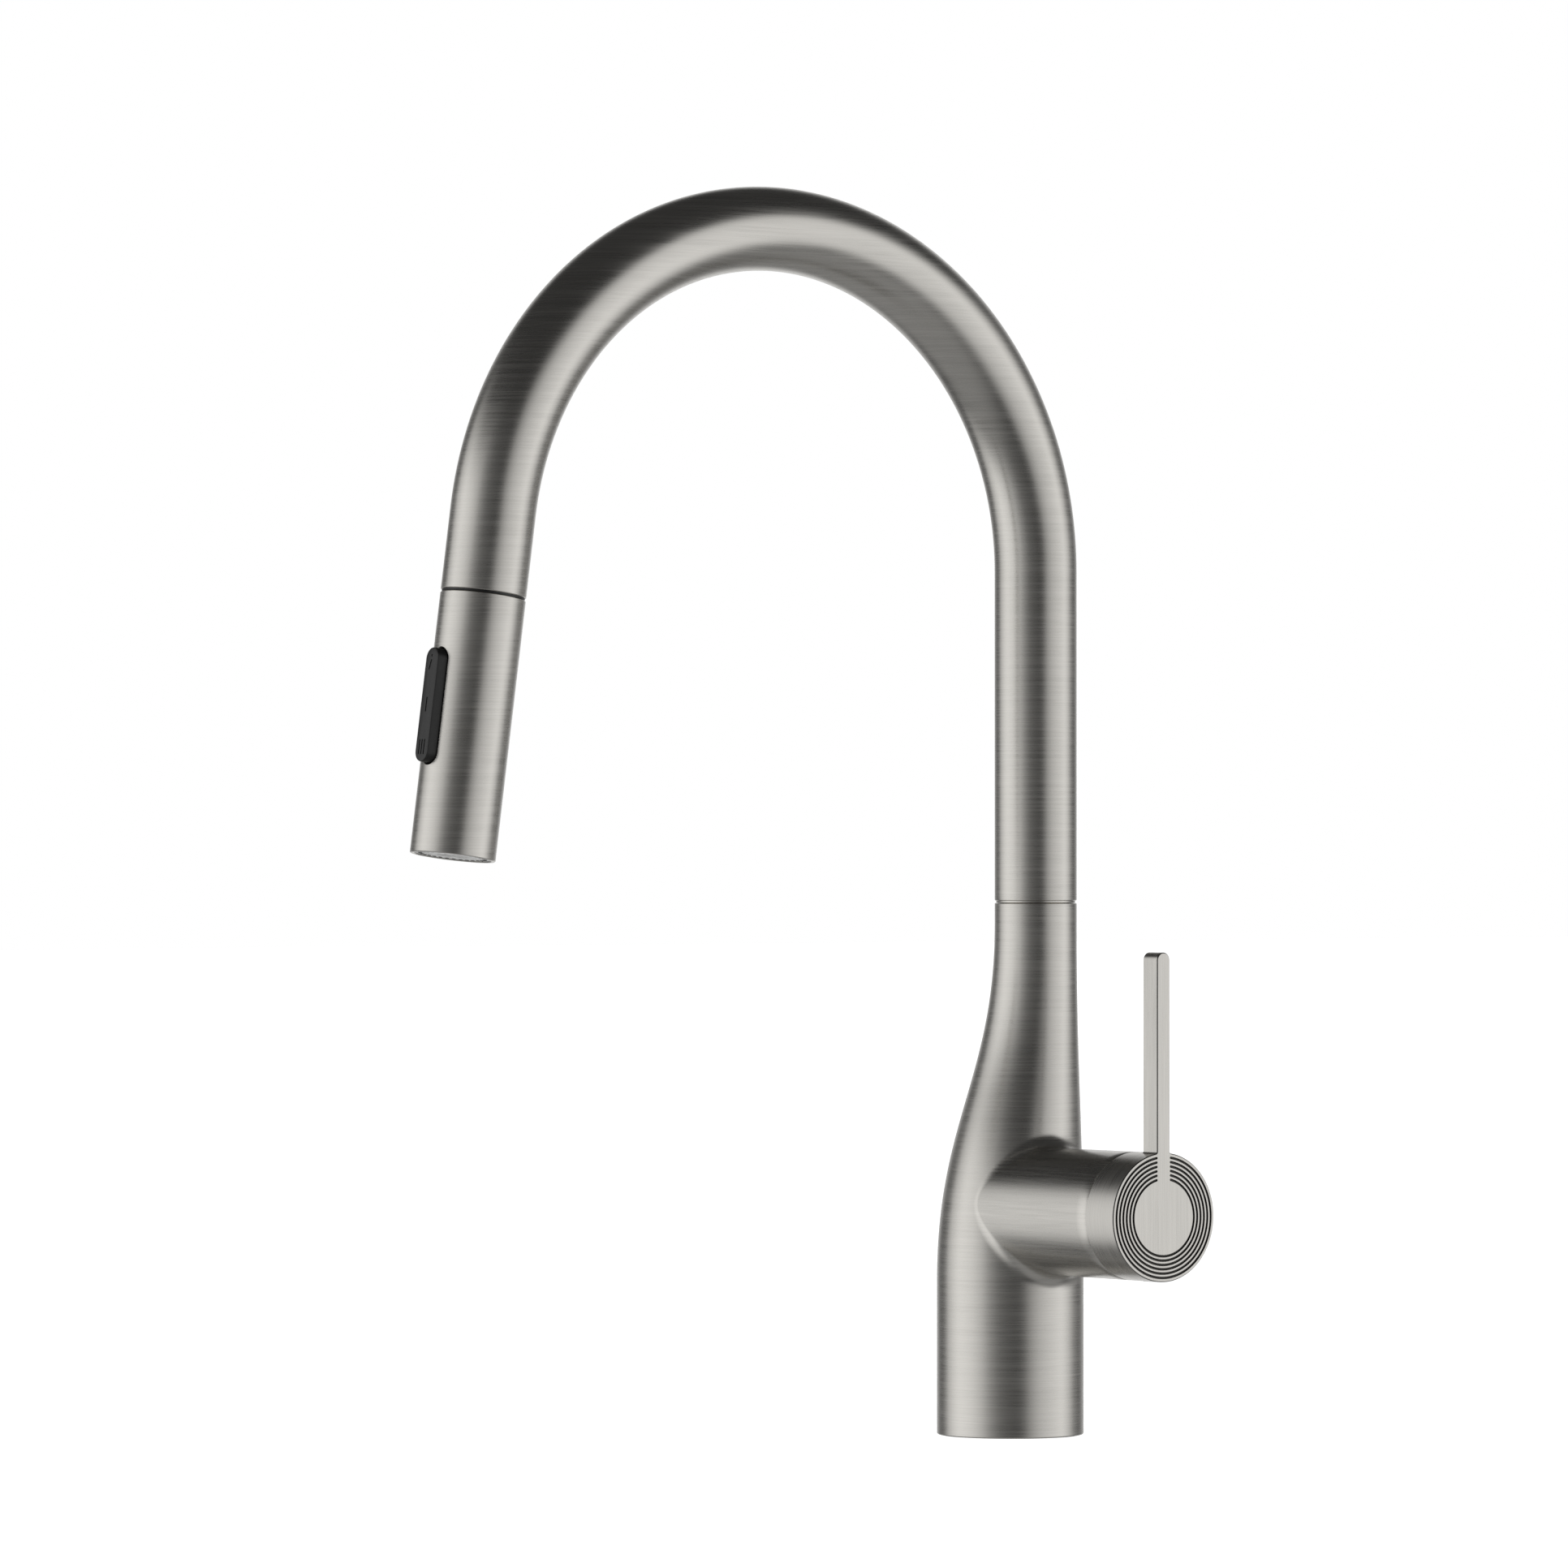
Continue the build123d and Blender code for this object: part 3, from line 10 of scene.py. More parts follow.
import bmesh
import bpy
import numpy as np
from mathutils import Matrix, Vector


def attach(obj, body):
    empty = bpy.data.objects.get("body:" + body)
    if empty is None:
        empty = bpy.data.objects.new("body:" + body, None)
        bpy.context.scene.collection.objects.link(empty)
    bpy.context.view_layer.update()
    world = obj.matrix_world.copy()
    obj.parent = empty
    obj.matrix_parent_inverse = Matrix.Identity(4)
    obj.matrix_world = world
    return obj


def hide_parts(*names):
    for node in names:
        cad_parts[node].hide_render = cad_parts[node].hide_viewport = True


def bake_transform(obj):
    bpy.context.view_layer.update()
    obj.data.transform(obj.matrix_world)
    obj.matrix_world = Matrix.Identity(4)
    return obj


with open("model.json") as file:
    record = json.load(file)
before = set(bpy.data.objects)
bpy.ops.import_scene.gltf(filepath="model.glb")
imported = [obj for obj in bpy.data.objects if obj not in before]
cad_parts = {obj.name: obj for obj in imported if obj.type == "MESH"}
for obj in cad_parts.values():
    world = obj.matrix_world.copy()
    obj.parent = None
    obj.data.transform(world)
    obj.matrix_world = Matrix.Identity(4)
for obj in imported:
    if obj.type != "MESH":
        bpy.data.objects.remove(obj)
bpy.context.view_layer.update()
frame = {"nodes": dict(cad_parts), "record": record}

nodes = frame["nodes"]

# %% [markdown]
# ## Sizes
# These are the real sizes in millimetres. The spout is a vertical column, an arc and a short
# straight run, so three numbers and one angle place everything that hangs on it.

# %% Sizes in millimetres
MM = 0.001
BASE_R, TUBE_R, TUBE_BORE = 25.0, 14.0, 12.8
COLUMN_Y = BASE_R - TUBE_R
TOTAL_HEIGHT, ARC_R, ARC_SWEEP = 420.2, 112.45, math.radians(172.0)
ARC_Z = TOTAL_HEIGHT - ARC_R - TUBE_R
NECK_TOP, SPOUT_START = 180.8, 181.6
BOSS_Z, BOSS_R, BOSS_FILLET = 76.6, 21.5, 6.0
PIVOT_X, SEAM_X, SEAM_GAP, CAP_WALL = 56.3, 68.3, 0.35, 2.4
BALL_R = math.hypot(SEAM_X - PIVOT_X, BOSS_R)
DOME_R, CAP_INNER_R = BALL_R - SEAM_GAP / 2, BALL_R + SEAM_GAP / 2
CAP_FACE_X = PIVOT_X + CAP_INNER_R + CAP_WALL
HEAD_START, HEAD_END = 28.3, 114.0
TILT = math.pi - ARC_SWEEP
ARC_CENTRE = np.array([0.0, COLUMN_Y - ARC_R, ARC_Z])
ARC_END = ARC_CENTRE + ARC_R * np.array([0.0, math.cos(ARC_SWEEP), math.sin(ARC_SWEEP)])
SPRAY_DIR = np.array([0.0, -math.sin(TILT), -math.cos(TILT)])
SPRAY_OUT = np.array([0.0, -math.cos(TILT), math.sin(TILT)])
X_AXIS, Y_AXIS, Z_AXIS = np.eye(3)
BOSS_ORIGIN = (0.0, 0.0, BOSS_Z)
print("end of the arc", ARC_END.round(2), "spray axis", SPRAY_DIR.round(3))

# %% [markdown]
# ## From numbers to a mesh
# Every surface here is a grid of points: rows one way, columns the other. One helper turns any
# number of such grids into one closed mesh: it joins neighbouring points into squares, welds the
# grids where they meet, and turns all faces outwards.

# %% Grid to mesh
WELD, SHARP_ANGLE = 2e-6, math.radians(32.0)


def grid_quads(rows, columns, first, keep=None):
    """Corner numbers of all squares of a grid, as one array; keep is a mask of wanted squares."""
    number = first + np.arange(rows * columns).reshape(rows, columns)
    corners = (number[:-1, :-1], number[:-1, 1:], number[1:, 1:], number[1:, :-1])
    quads = np.stack(corners, axis=-1)
    return quads[keep] if keep is not None else quads.reshape(-1, 4)


def build_mesh(name, grids):
    """One mesh in metres from grids in millimetres: arrays of points, (array, mask of kept squares)
    or ("faces", points, corner numbers)."""
    points, faces, first = [], [], 0
    for grid in grids:
        if isinstance(grid, tuple) and isinstance(grid[0], str):
            points.append(grid[1])
            faces += (grid[2] + first).tolist()
            first += len(grid[1])
            continue
        place, keep = grid if isinstance(grid, tuple) else (grid, None)
        rows, columns, _ = place.shape
        points.append(place.reshape(-1, 3))
        faces += grid_quads(rows, columns, first, keep).tolist()
        first += rows * columns
    mesh = bpy.data.meshes.new(name)
    mesh.from_pydata((np.concatenate(points) * MM).tolist(), [], faces)
    bm = bmesh.new()
    bm.from_mesh(mesh)
    bmesh.ops.remove_doubles(bm, verts=bm.verts, dist=WELD)
    loose = [v for v in bm.verts if not v.link_faces]
    bmesh.ops.delete(bm, geom=loose, context="VERTS")
    bmesh.ops.recalc_face_normals(bm, faces=bm.faces)
    open_edges = sum(1 for e in bm.edges if not e.is_manifold)
    bm.to_mesh(mesh)
    bm.free()
    mesh.shade_smooth()
    mesh.set_sharp_from_angle(angle=SHARP_ANGLE)
    print(f"{name}: {len(mesh.polygons)} faces, {open_edges} open edges")
    return mesh


# %% [markdown]
# ## From a mesh to a piece
# A piece is more than its mesh: it rides on one of the moving bodies, and it takes the place of a
# CAD node. Some pieces have two or three finishes, picked face by face, some of them painted shade.

# %% Pieces
slot_of = {part["node"]: part["material_slot"] for part in frame["record"]["subparts"]}


def add_piece(name, grids, finish, body, *stands_for, choose=None):
    """Make the mesh, let it ride on a body and stand for CAD nodes. finish is one material or a
    list; choose then gives each face its number from the faces' middles, in millimetres."""
    piece = bpy.data.objects.new(name, build_mesh(name, grids))
    bpy.context.scene.collection.objects.link(piece)
    for material in finish if isinstance(finish, list) else [finish]:
        piece.data.materials.append(material)
    if choose:
        middle = np.zeros(len(piece.data.polygons) * 3, np.float32)
        piece.data.polygons.foreach_get("center", middle)
        number = choose(middle.reshape(-1, 3) / MM)
        piece.data.polygons.foreach_set("material_index", number.astype(np.int32))
    if body:
        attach(piece, body)
    if stands_for:
        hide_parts(*stands_for)
    return piece


print(len(slot_of), "CAD nodes have a slot")

# %% [markdown]
# ## Round shapes
# Most of this object was turned on a lathe. A round surface is a profile of corners, and each
# corner is carried once round an axis.

# %% Circles and lathe


def circle_columns(count):
    """Angles once round a circle, the last one closing on the first."""
    return np.linspace(0.0, 2 * np.pi, count + 1)


def lathe(profile, origin, axis, side, count=96):
    """A profile of (distance along the axis, radius) corners carried round the axis."""
    along, radius = np.array(profile, float).T
    axis, side = np.array(axis, float), np.array(side, float)
    across = np.cross(axis, side)
    turn = circle_columns(count)
    ring = np.cos(turn)[:, None] * side + np.sin(turn)[:, None] * across
    centre = np.array(origin, float) + along[:, None] * axis
    return centre[:, None, :] + radius[:, None, None] * ring[None, :, :]


# %% [markdown]
# ## Brushed metal
# The real finish is a warm grey metal, rubbed in one direction with an abrasive pad. Up close it
# is thousands of fine parallel scratches: some longer, some duller. A noise squeezed hard along
# one axis gives such lines. The same group serves every brushed piece, with its own direction.

# %% Shader helpers


def new_group(name, inputs, outputs):
    """An empty shader group with named sockets, and its two end nodes."""
    group = bpy.data.node_groups.new(name, "ShaderNodeTree")
    for label, kind, value in inputs:
        socket = group.interface.new_socket(name=label, in_out="INPUT", socket_type=kind)
        if value is not None:
            socket.default_value = value
    for label, kind in outputs:
        group.interface.new_socket(name=label, in_out="OUTPUT", socket_type=kind)
    start = group.nodes.new("NodeGroupInput")
    end = group.nodes.new("NodeGroupOutput")
    return group, start, end


def math_node(tree, operation, first, second=0.5, third=None):
    """A Math node; first, second and third are numbers or sockets."""
    node = tree.nodes.new("ShaderNodeMath")
    node.operation = operation
    for index, value in enumerate((first, second, third)):
        if value is None:
            continue
        if isinstance(value, (int, float)):
            node.inputs[index].default_value = value
        else:
            tree.links.new(value, node.inputs[index])
    return node.outputs[0]


def map_range(tree, value, low, high, to_low, to_high):
    """Carries a value from one range to another, smoothly and without going past its ends."""
    node = tree.nodes.new("ShaderNodeMapRange")
    node.interpolation_type = "SMOOTHSTEP"
    tree.links.new(value, node.inputs["Value"])
    names = ("From Min", "From Max", "To Min", "To Max")
    for label, number in zip(names, (low, high, to_low, to_high)):
        node.inputs[label].default_value = number
    return node.outputs["Result"]


# %% Brushing group
STREAK_SCALE, BAND_SCALE, CLOUD_SCALE = 1.6, 0.32, 22.0


def make_brushing_group():
    """Three squeezed noises: fine scratches, coarse bands and slow cloudy variation."""
    inputs = [
        ("Vector", "NodeSocketVector", None),
        ("Squeeze", "NodeSocketVector", (28.0, 28.0, 1500.0)),
    ]
    outputs = [("Streaks", "NodeSocketFloat"), ("Bands", "NodeSocketFloat"), ("Cloud", "NodeSocketFloat")]
    group, start, end = new_group("brushing", inputs, outputs)
    scaled = group.nodes.new("ShaderNodeVectorMath")
    scaled.operation = "MULTIPLY"
    group.links.new(start.outputs["Vector"], scaled.inputs[0])
    group.links.new(start.outputs["Squeeze"], scaled.inputs[1])
    for label, scale, detail in (("Streaks", STREAK_SCALE, 4.0), ("Bands", BAND_SCALE, 2.0)):
        noise = group.nodes.new("ShaderNodeTexNoise")
        noise.inputs["Scale"].default_value = scale
        noise.inputs["Detail"].default_value = detail
        noise.inputs["Roughness"].default_value = 0.62
        group.links.new(scaled.outputs[0], noise.inputs["Vector"])
        group.links.new(noise.outputs["Fac"], end.inputs[label])
    cloud = group.nodes.new("ShaderNodeTexNoise")
    cloud.inputs["Scale"].default_value = CLOUD_SCALE
    cloud.inputs["Detail"].default_value = 2.0
    group.links.new(start.outputs["Vector"], cloud.inputs["Vector"])
    group.links.new(cloud.outputs["Fac"], end.inputs["Cloud"])
    return group


brushing = make_brushing_group()
print("brushing group has", len(brushing.nodes), "nodes")

# %% [markdown]
# ## The brushed finishes
# A group only gives numbers; a material turns them into colour, gloss and relief. The squeeze
# sets the direction: round the column, round the boss, or up the flat lever. Two darker copies
# of the metal are painted shade: a dim one on narrow edges and in the seam, a near black one in
# the walls of fine cuts.

# %% Brushed metal material
# The second and third colours are painted shade: a dim metal for the narrow bevels and the seam, a near black
# metal for the grooves.
METAL_COLOUR, EDGE_SHADE_COLOUR, CUT_SHADE_COLOUR = (0.545, 0.530, 0.500), (0.26, 0.255, 0.245), (0.060, 0.058, 0.055)
NOISE_LOW, NOISE_HIGH = 0.30, 0.70
BAND_SHARE, CLOUD_TONE, STREAK_DULL, CLOUD_DULL = 0.45, 0.02, 0.035, 0.015
SCRATCH_DEPTH, SCRATCH_STRENGTH = 0.00002, 0.05
ROUND_Z = (26.0, 26.0, 1500.0)
ROUND_X = (1500.0, 26.0, 26.0)
ALONG_Z = (420.0, 1500.0, 22.0)


def brushed_metal(name, squeeze, roughness=0.29, colour=METAL_COLOUR, contrast=0.07):
    """Metal whose colour, gloss and surface follow the scratches of the brushing group."""
    material = bpy.data.materials.new(name)
    material.use_nodes = True
    tree = material.node_tree
    shader = tree.nodes["Principled BSDF"]
    shader.inputs["Metallic"].default_value = 1.0
    place = tree.nodes.new("ShaderNodeTexCoord")
    lines = tree.nodes.new("ShaderNodeGroup")
    lines.node_tree = brushing
    lines.inputs["Squeeze"].default_value = squeeze
    tree.links.new(place.outputs["Object"], lines.inputs["Vector"])
    streaks = map_range(tree, lines.outputs["Streaks"], NOISE_LOW, NOISE_HIGH, -1.0, 1.0)
    bands = map_range(tree, lines.outputs["Bands"], NOISE_LOW, NOISE_HIGH, -1.0, 1.0)
    cloud = map_range(tree, lines.outputs["Cloud"], NOISE_LOW, NOISE_HIGH, -1.0, 1.0)
    mixed = math_node(tree, "MULTIPLY_ADD", bands, BAND_SHARE, streaks)
    tone = math_node(tree, "MULTIPLY_ADD", mixed, contrast, 1.0)
    tone = math_node(tree, "MULTIPLY_ADD", cloud, CLOUD_TONE, tone)
    tint = tree.nodes.new("ShaderNodeVectorMath")
    tint.operation = "SCALE"
    tint.inputs[0].default_value = colour
    tree.links.new(tone, tint.inputs["Scale"])
    tree.links.new(tint.outputs[0], shader.inputs["Base Color"])
    dull = math_node(tree, "MULTIPLY_ADD", mixed, STREAK_DULL, roughness)
    dull = math_node(tree, "MULTIPLY_ADD", cloud, CLOUD_DULL, dull)
    tree.links.new(dull, shader.inputs["Roughness"])
    bump = tree.nodes.new("ShaderNodeBump")
    bump.inputs["Strength"].default_value = SCRATCH_STRENGTH
    bump.inputs["Distance"].default_value = SCRATCH_DEPTH
    tree.links.new(lines.outputs["Streaks"], bump.inputs["Height"])
    tree.links.new(bump.outputs[0], shader.inputs["Normal"])
    return material


brushed_round = brushed_metal("brushed_round", ROUND_Z)
brushed_upright = brushed_metal("brushed_upright", ALONG_Z)
brushed_cap = brushed_metal("brushed_cap", ROUND_X)
# A dim copy of the metal, painted shade on the narrow bevels and on the dome inside the handle's seam.
edge_and_seam_shade = brushed_metal("edge_and_seam_shade", ROUND_X, roughness=0.35, colour=EDGE_SHADE_COLOUR)
# A near black copy of the metal, painted shade in the grooves and on the cap's side of the seam.
groove_and_seam_shade = brushed_metal("groove_and_seam_shade", ROUND_X, roughness=0.5, colour=CUT_SHADE_COLOUR)
print("brushed metals:", brushed_round.name, brushed_upright.name, brushed_cap.name)

# %% [markdown]
# ## Plastics, rubber and brass
# The plain parts still have a surface: moulded plastic has a fine spark texture, rubber a soft
# grain, turned brass its tool lines. One small grain group gives all of them their variation.

# %% Grain group


def make_grain_group():
    """A fine speckle for the surface and a slow cloud for the colour."""
    inputs = [("Vector", "NodeSocketVector", None), ("Fineness", "NodeSocketFloat", 2600.0)]
    outputs = [("Speckle", "NodeSocketFloat"), ("Cloud", "NodeSocketFloat")]
    group, start, end = new_group("grain", inputs, outputs)
    speckle = group.nodes.new("ShaderNodeTexNoise")
    speckle.inputs["Detail"].default_value = 3.0
    group.links.new(start.outputs["Vector"], speckle.inputs["Vector"])
    group.links.new(start.outputs["Fineness"], speckle.inputs["Scale"])
    group.links.new(speckle.outputs["Fac"], end.inputs["Speckle"])
    cloud = group.nodes.new("ShaderNodeTexNoise")
    cloud.inputs["Scale"].default_value = 90.0
    group.links.new(start.outputs["Vector"], cloud.inputs["Vector"])
    group.links.new(cloud.outputs["Fac"], end.inputs["Cloud"])
    return group


grain = make_grain_group()
print("grain group has", len(grain.nodes), "nodes")

# %% Plain finishes
GRAIN_TONE, GRAIN_DULL, GRAIN_STRENGTH = 0.05, 0.04, 0.3


def grained(name, colour, roughness, metallic=0.0, fineness=2600.0, depth=0.00002):
    """A plain finish whose colour, gloss and surface vary a little with the grain group."""
    material = bpy.data.materials.new(name)
    material.use_nodes = True
    tree = material.node_tree
    shader = tree.nodes["Principled BSDF"]
    shader.inputs["Metallic"].default_value = metallic
    place = tree.nodes.new("ShaderNodeTexCoord")
    speckles = tree.nodes.new("ShaderNodeGroup")
    speckles.node_tree = grain
    speckles.inputs["Fineness"].default_value = fineness
    tree.links.new(place.outputs["Object"], speckles.inputs["Vector"])
    speckle = map_range(tree, speckles.outputs["Speckle"], NOISE_LOW, NOISE_HIGH, -1.0, 1.0)
    cloud = map_range(tree, speckles.outputs["Cloud"], NOISE_LOW, NOISE_HIGH, -1.0, 1.0)
    tone = math_node(tree, "MULTIPLY_ADD", speckle, GRAIN_TONE, 1.0)
    tone = math_node(tree, "MULTIPLY_ADD", cloud, GRAIN_TONE, tone)
    tint = tree.nodes.new("ShaderNodeVectorMath")
    tint.operation = "SCALE"
    tint.inputs[0].default_value = colour
    tree.links.new(tone, tint.inputs["Scale"])
    tree.links.new(tint.outputs[0], shader.inputs["Base Color"])
    dull = math_node(tree, "MULTIPLY_ADD", speckle, GRAIN_DULL, roughness)
    tree.links.new(dull, shader.inputs["Roughness"])
    bump = tree.nodes.new("ShaderNodeBump")
    bump.inputs["Strength"].default_value = GRAIN_STRENGTH
    bump.inputs["Distance"].default_value = depth
    tree.links.new(speckles.outputs["Speckle"], bump.inputs["Height"])
    tree.links.new(bump.outputs[0], shader.inputs["Normal"])
    return material


black_plastic = grained("black_plastic", (0.012, 0.012, 0.012), 0.42)
grey_plastic = grained("grey_plastic", (0.78, 0.78, 0.76), 0.38)
white_plastic = grained("white_plastic", (0.72, 0.71, 0.68), 0.45)
seal_rubber = grained("seal_rubber", (0.020, 0.020, 0.021), 0.62, fineness=1800.0)
nozzle_silicone = grained("nozzle_silicone", (0.16, 0.16, 0.16), 0.55)
ceramic_disc = grained("ceramic_disc", (0.80, 0.79, 0.75), 0.18, depth=0.00001)
ferrite = grained("ferrite", (0.035, 0.034, 0.036), 0.50, metallic=0.3)
turned_brass = grained("turned_brass", (0.62, 0.44, 0.20), 0.28, metallic=1.0)
turned_steel = grained("turned_steel", (0.52, 0.52, 0.51), 0.26, metallic=1.0)
print("finishes so far:", len(bpy.data.materials))

# %% [markdown]
# ## Woven hose jacket
# The pull out hose wears a jacket of two sets of threads that cross at a slant. The pattern reads
# the angle round the spray axis and the distance along it, so it doesn't stretch with the hose.

# %% Hose jacket material
JACKET_THREADS, THREAD_TURN, THREAD_DEPTH, THREAD_STRENGTH = 12.0, 0.0075, 0.0003, 0.6


def dot_with(tree, vector, direction):
    """Length of a vector along a fixed direction."""
    node = tree.nodes.new("ShaderNodeVectorMath")
    node.operation = "DOT_PRODUCT"
    tree.links.new(vector, node.inputs[0])
    node.inputs[1].default_value = tuple(direction)
    return node.outputs["Value"]


def make_hose_jacket():
    """Two sine waves over angle and length, one slanting each way; the higher one lies on top."""
    material = bpy.data.materials.new("hose_jacket")
    material.use_nodes = True
    tree = material.node_tree
    shader = tree.nodes["Principled BSDF"]
    place = tree.nodes.new("ShaderNodeTexCoord").outputs["Object"]
    shift = tree.nodes.new("ShaderNodeVectorMath")
    shift.operation = "SUBTRACT"
    tree.links.new(place, shift.inputs[0])
    shift.inputs[1].default_value = tuple(ARC_END * MM)
    place = shift.outputs[0]
    angle = math_node(tree, "ARCTAN2", dot_with(tree, place, X_AXIS), dot_with(tree, place, SPRAY_OUT))
    along = dot_with(tree, place, SPRAY_DIR)
    sets = []
    for slant in (-1.0, 1.0):
        phase = math_node(tree, "MULTIPLY", angle, JACKET_THREADS)
        phase = math_node(tree, "MULTIPLY_ADD", along, slant * 2 * math.pi / THREAD_TURN, phase)
        wave = math_node(tree, "SINE", phase)
        sets.append(math_node(tree, "MULTIPLY_ADD", wave, 0.5, 0.5))
    weave = math_node(tree, "MAXIMUM", sets[0], sets[1])
    colour = tree.nodes.new("ShaderNodeMix")
    colour.data_type = "RGBA"
    tree.links.new(weave, colour.inputs["Factor"])
    colour.inputs["A"].default_value = (0.010, 0.010, 0.011, 1.0)
    colour.inputs["B"].default_value = (0.085, 0.085, 0.088, 1.0)
    tree.links.new(colour.outputs["Result"], shader.inputs["Base Color"])
    tree.links.new(map_range(tree, weave, 0.0, 1.0, 0.75, 0.45), shader.inputs["Roughness"])
    bump = tree.nodes.new("ShaderNodeBump")
    bump.inputs["Strength"].default_value = THREAD_STRENGTH
    bump.inputs["Distance"].default_value = THREAD_DEPTH
    tree.links.new(weave, bump.inputs["Height"])
    tree.links.new(bump.outputs[0], shader.inputs["Normal"])
    return material


hose_jacket = make_hose_jacket()
print("hose jacket:", int(JACKET_THREADS), "threads each way")

# %% [markdown]
# ## Flat faces with cuts
# The handle's face, the button's front and the underside of the foot are flat faces with grooves,
# marks or holes. Each one is drawn as closed loops of points; a Delaunay triangulation fills the
# outline and leaves the loops out, then the loops get their own walls and floors.

# %% Loops and flat faces
from mathutils.geometry import delaunay_2d_cdt


class Seat:
    """A place for a flat drawing: origin + u, v in the drawing and w standing out of it."""

    def __init__(self, origin, u, v, w):
        self.origin, self.axes = np.array(origin, float), np.array([u, v, w], float)

    def put(self, u, v, w):
        u, v, w = np.broadcast_arrays(u, v, w)
        return self.origin + np.stack([u, v, w], axis=-1) @ self.axes


def disc_loop(centre, radius, count=24):
    """Points round a circle, counter clockwise, without a repeated last one."""
    turn = circle_columns(count)[:-1]
    return np.stack([centre[0] + radius * np.cos(turn), centre[1] + radius * np.sin(turn)], axis=-1)


def pill_loop(length, width, inset=0.0, count=16):
    """Outline of a bar with half round ends, its length along v."""
    radius, straight = width / 2 - inset, (length - width) / 2
    turn = np.linspace(0, np.pi, count + 1)
    upper = np.stack([radius * np.cos(turn), straight + radius * np.sin(turn)], axis=-1)
    return np.concatenate([upper, -upper])


# %% Triangles between loops


def inside(points, loop):
    """True where a point lies in a loop: a ray to the right crosses an odd number of edges."""
    ahead = np.roll(loop, -1, axis=0)
    x, y = points[:, None, 0], points[:, None, 1]
    rises = (loop[None, :, 1] > y) != (ahead[None, :, 1] > y)
    step = np.where(ahead[:, 1] == loop[:, 1], 1.0, ahead[:, 1] - loop[:, 1])
    run = (ahead[:, 0] - loop[:, 0])[None, :]
    at = loop[None, :, 0] + (y - loop[None, :, 1]) * run / step[None, :]
    return (np.sum(rises & (at > x), axis=1) % 2).astype(bool)


def flat_face(seat, lift, outline, holes=()):
    """Triangles that fill the outline and leave the holes out, at one height above the seat."""
    loops = [outline, *holes]
    starts = np.cumsum([0] + [len(loop) for loop in loops])
    edges = []
    for start, loop in zip(starts, loops):
        number = start + np.arange(len(loop))
        edges.append(np.stack([number, np.roll(number, -1)], axis=-1))
    points = np.concatenate(loops)
    flat = [Vector(point) for point in points.tolist()]
    found = delaunay_2d_cdt(flat, np.concatenate(edges).tolist(), [], 0, 1e-6, False)
    place = np.array([tuple(v) for v in found[0]])
    triangles = np.array([f for f in found[2] if len(f) == 3])
    middle = place[triangles].mean(axis=1)
    keep = inside(middle, outline)
    for hole in holes:
        keep &= ~inside(middle, hole)
    return ("faces", seat.put(place[:, 0], place[:, 1], lift), triangles[keep])


def loop_wall(seat, levels):
    """Rows of one loop or of matching loops, each at its own height: (loop, height) pairs."""
    rows = [np.concatenate([loop, loop[:1]]) for loop, _ in levels]
    heights = [height for _, height in levels]
    return np.stack([seat.put(row[:, 0], row[:, 1], h) for row, h in zip(rows, heights)])


def cut_loops(seat, lift, depth, loops, floors=None):
    """Walls and floors of blind cuts below a flat face; floors may be narrower than the mouths."""
    made = []
    for loop, floor in zip(loops, floors or loops):
        made.append(loop_wall(seat, [(loop, lift), (floor, lift - depth)]))
        made.append(flat_face(seat, lift - depth, floor))
    return made


# %% [markdown]
# ## The body casting
# Foot, flare and neck are circles that share their rearmost line. Their radius follows one smooth
# curve. The boss for the handle grows out of the flare with a rounded crease, which a ball of
# 6 mm would leave if it rolled along the corner, so the crease is worked out as just that.

# %% Column surface
FLARE_STEPS = np.linspace(0.0, 1.0, 2001)
FLARE_TOP, FLARE_TOP_PULL, FLARE_FOOT_PULL, FLARE_FOOT = 174.1, 120.7, 107.2, 52.3


def bezier(a, b, c, d, t):
    """A cubic curve from a to d, pulled towards b and c."""
    return (1 - t) ** 3 * a + 3 * t * (1 - t) ** 2 * b + 3 * t**2 * (1 - t) * c + t**3 * d


FLARE_Z = bezier(FLARE_TOP, FLARE_TOP_PULL, FLARE_FOOT_PULL, FLARE_FOOT, FLARE_STEPS)[::-1]
FLARE_R = bezier(TUBE_R, TUBE_R, BASE_R, BASE_R, FLARE_STEPS)[::-1]
FLARE_SLOPE = np.gradient(FLARE_R, FLARE_Z)
print("steepest slope of the flare", abs(FLARE_SLOPE[1:-1]).max().round(3))


def column_radius(z):
    """The flare's radius at height z, read off the curve."""
    return np.interp(z, FLARE_Z, FLARE_R)


def column_point(angle, z):
    """A circle of the column at height z; all circles touch the line y = BASE_R."""
    radius = column_radius(z)
    return np.stack([radius * np.cos(angle), BASE_R - radius + radius * np.sin(angle), z], axis=-1)


def column_normal(angle, z):
    """Straight out of the surface: out of the circle, tipped by the slope of the flare."""
    slope = np.interp(z, FLARE_Z, FLARE_SLOPE, left=0.0, right=0.0)
    normal = np.stack([np.cos(angle), np.sin(angle), slope * (np.sin(angle) - 1.0)], axis=-1)
    return normal / np.linalg.norm(normal, axis=-1, keepdims=True)


# %% The ball that rolls along the crease
NUDGE, NEWTON_STEPS = 1e-4, 25


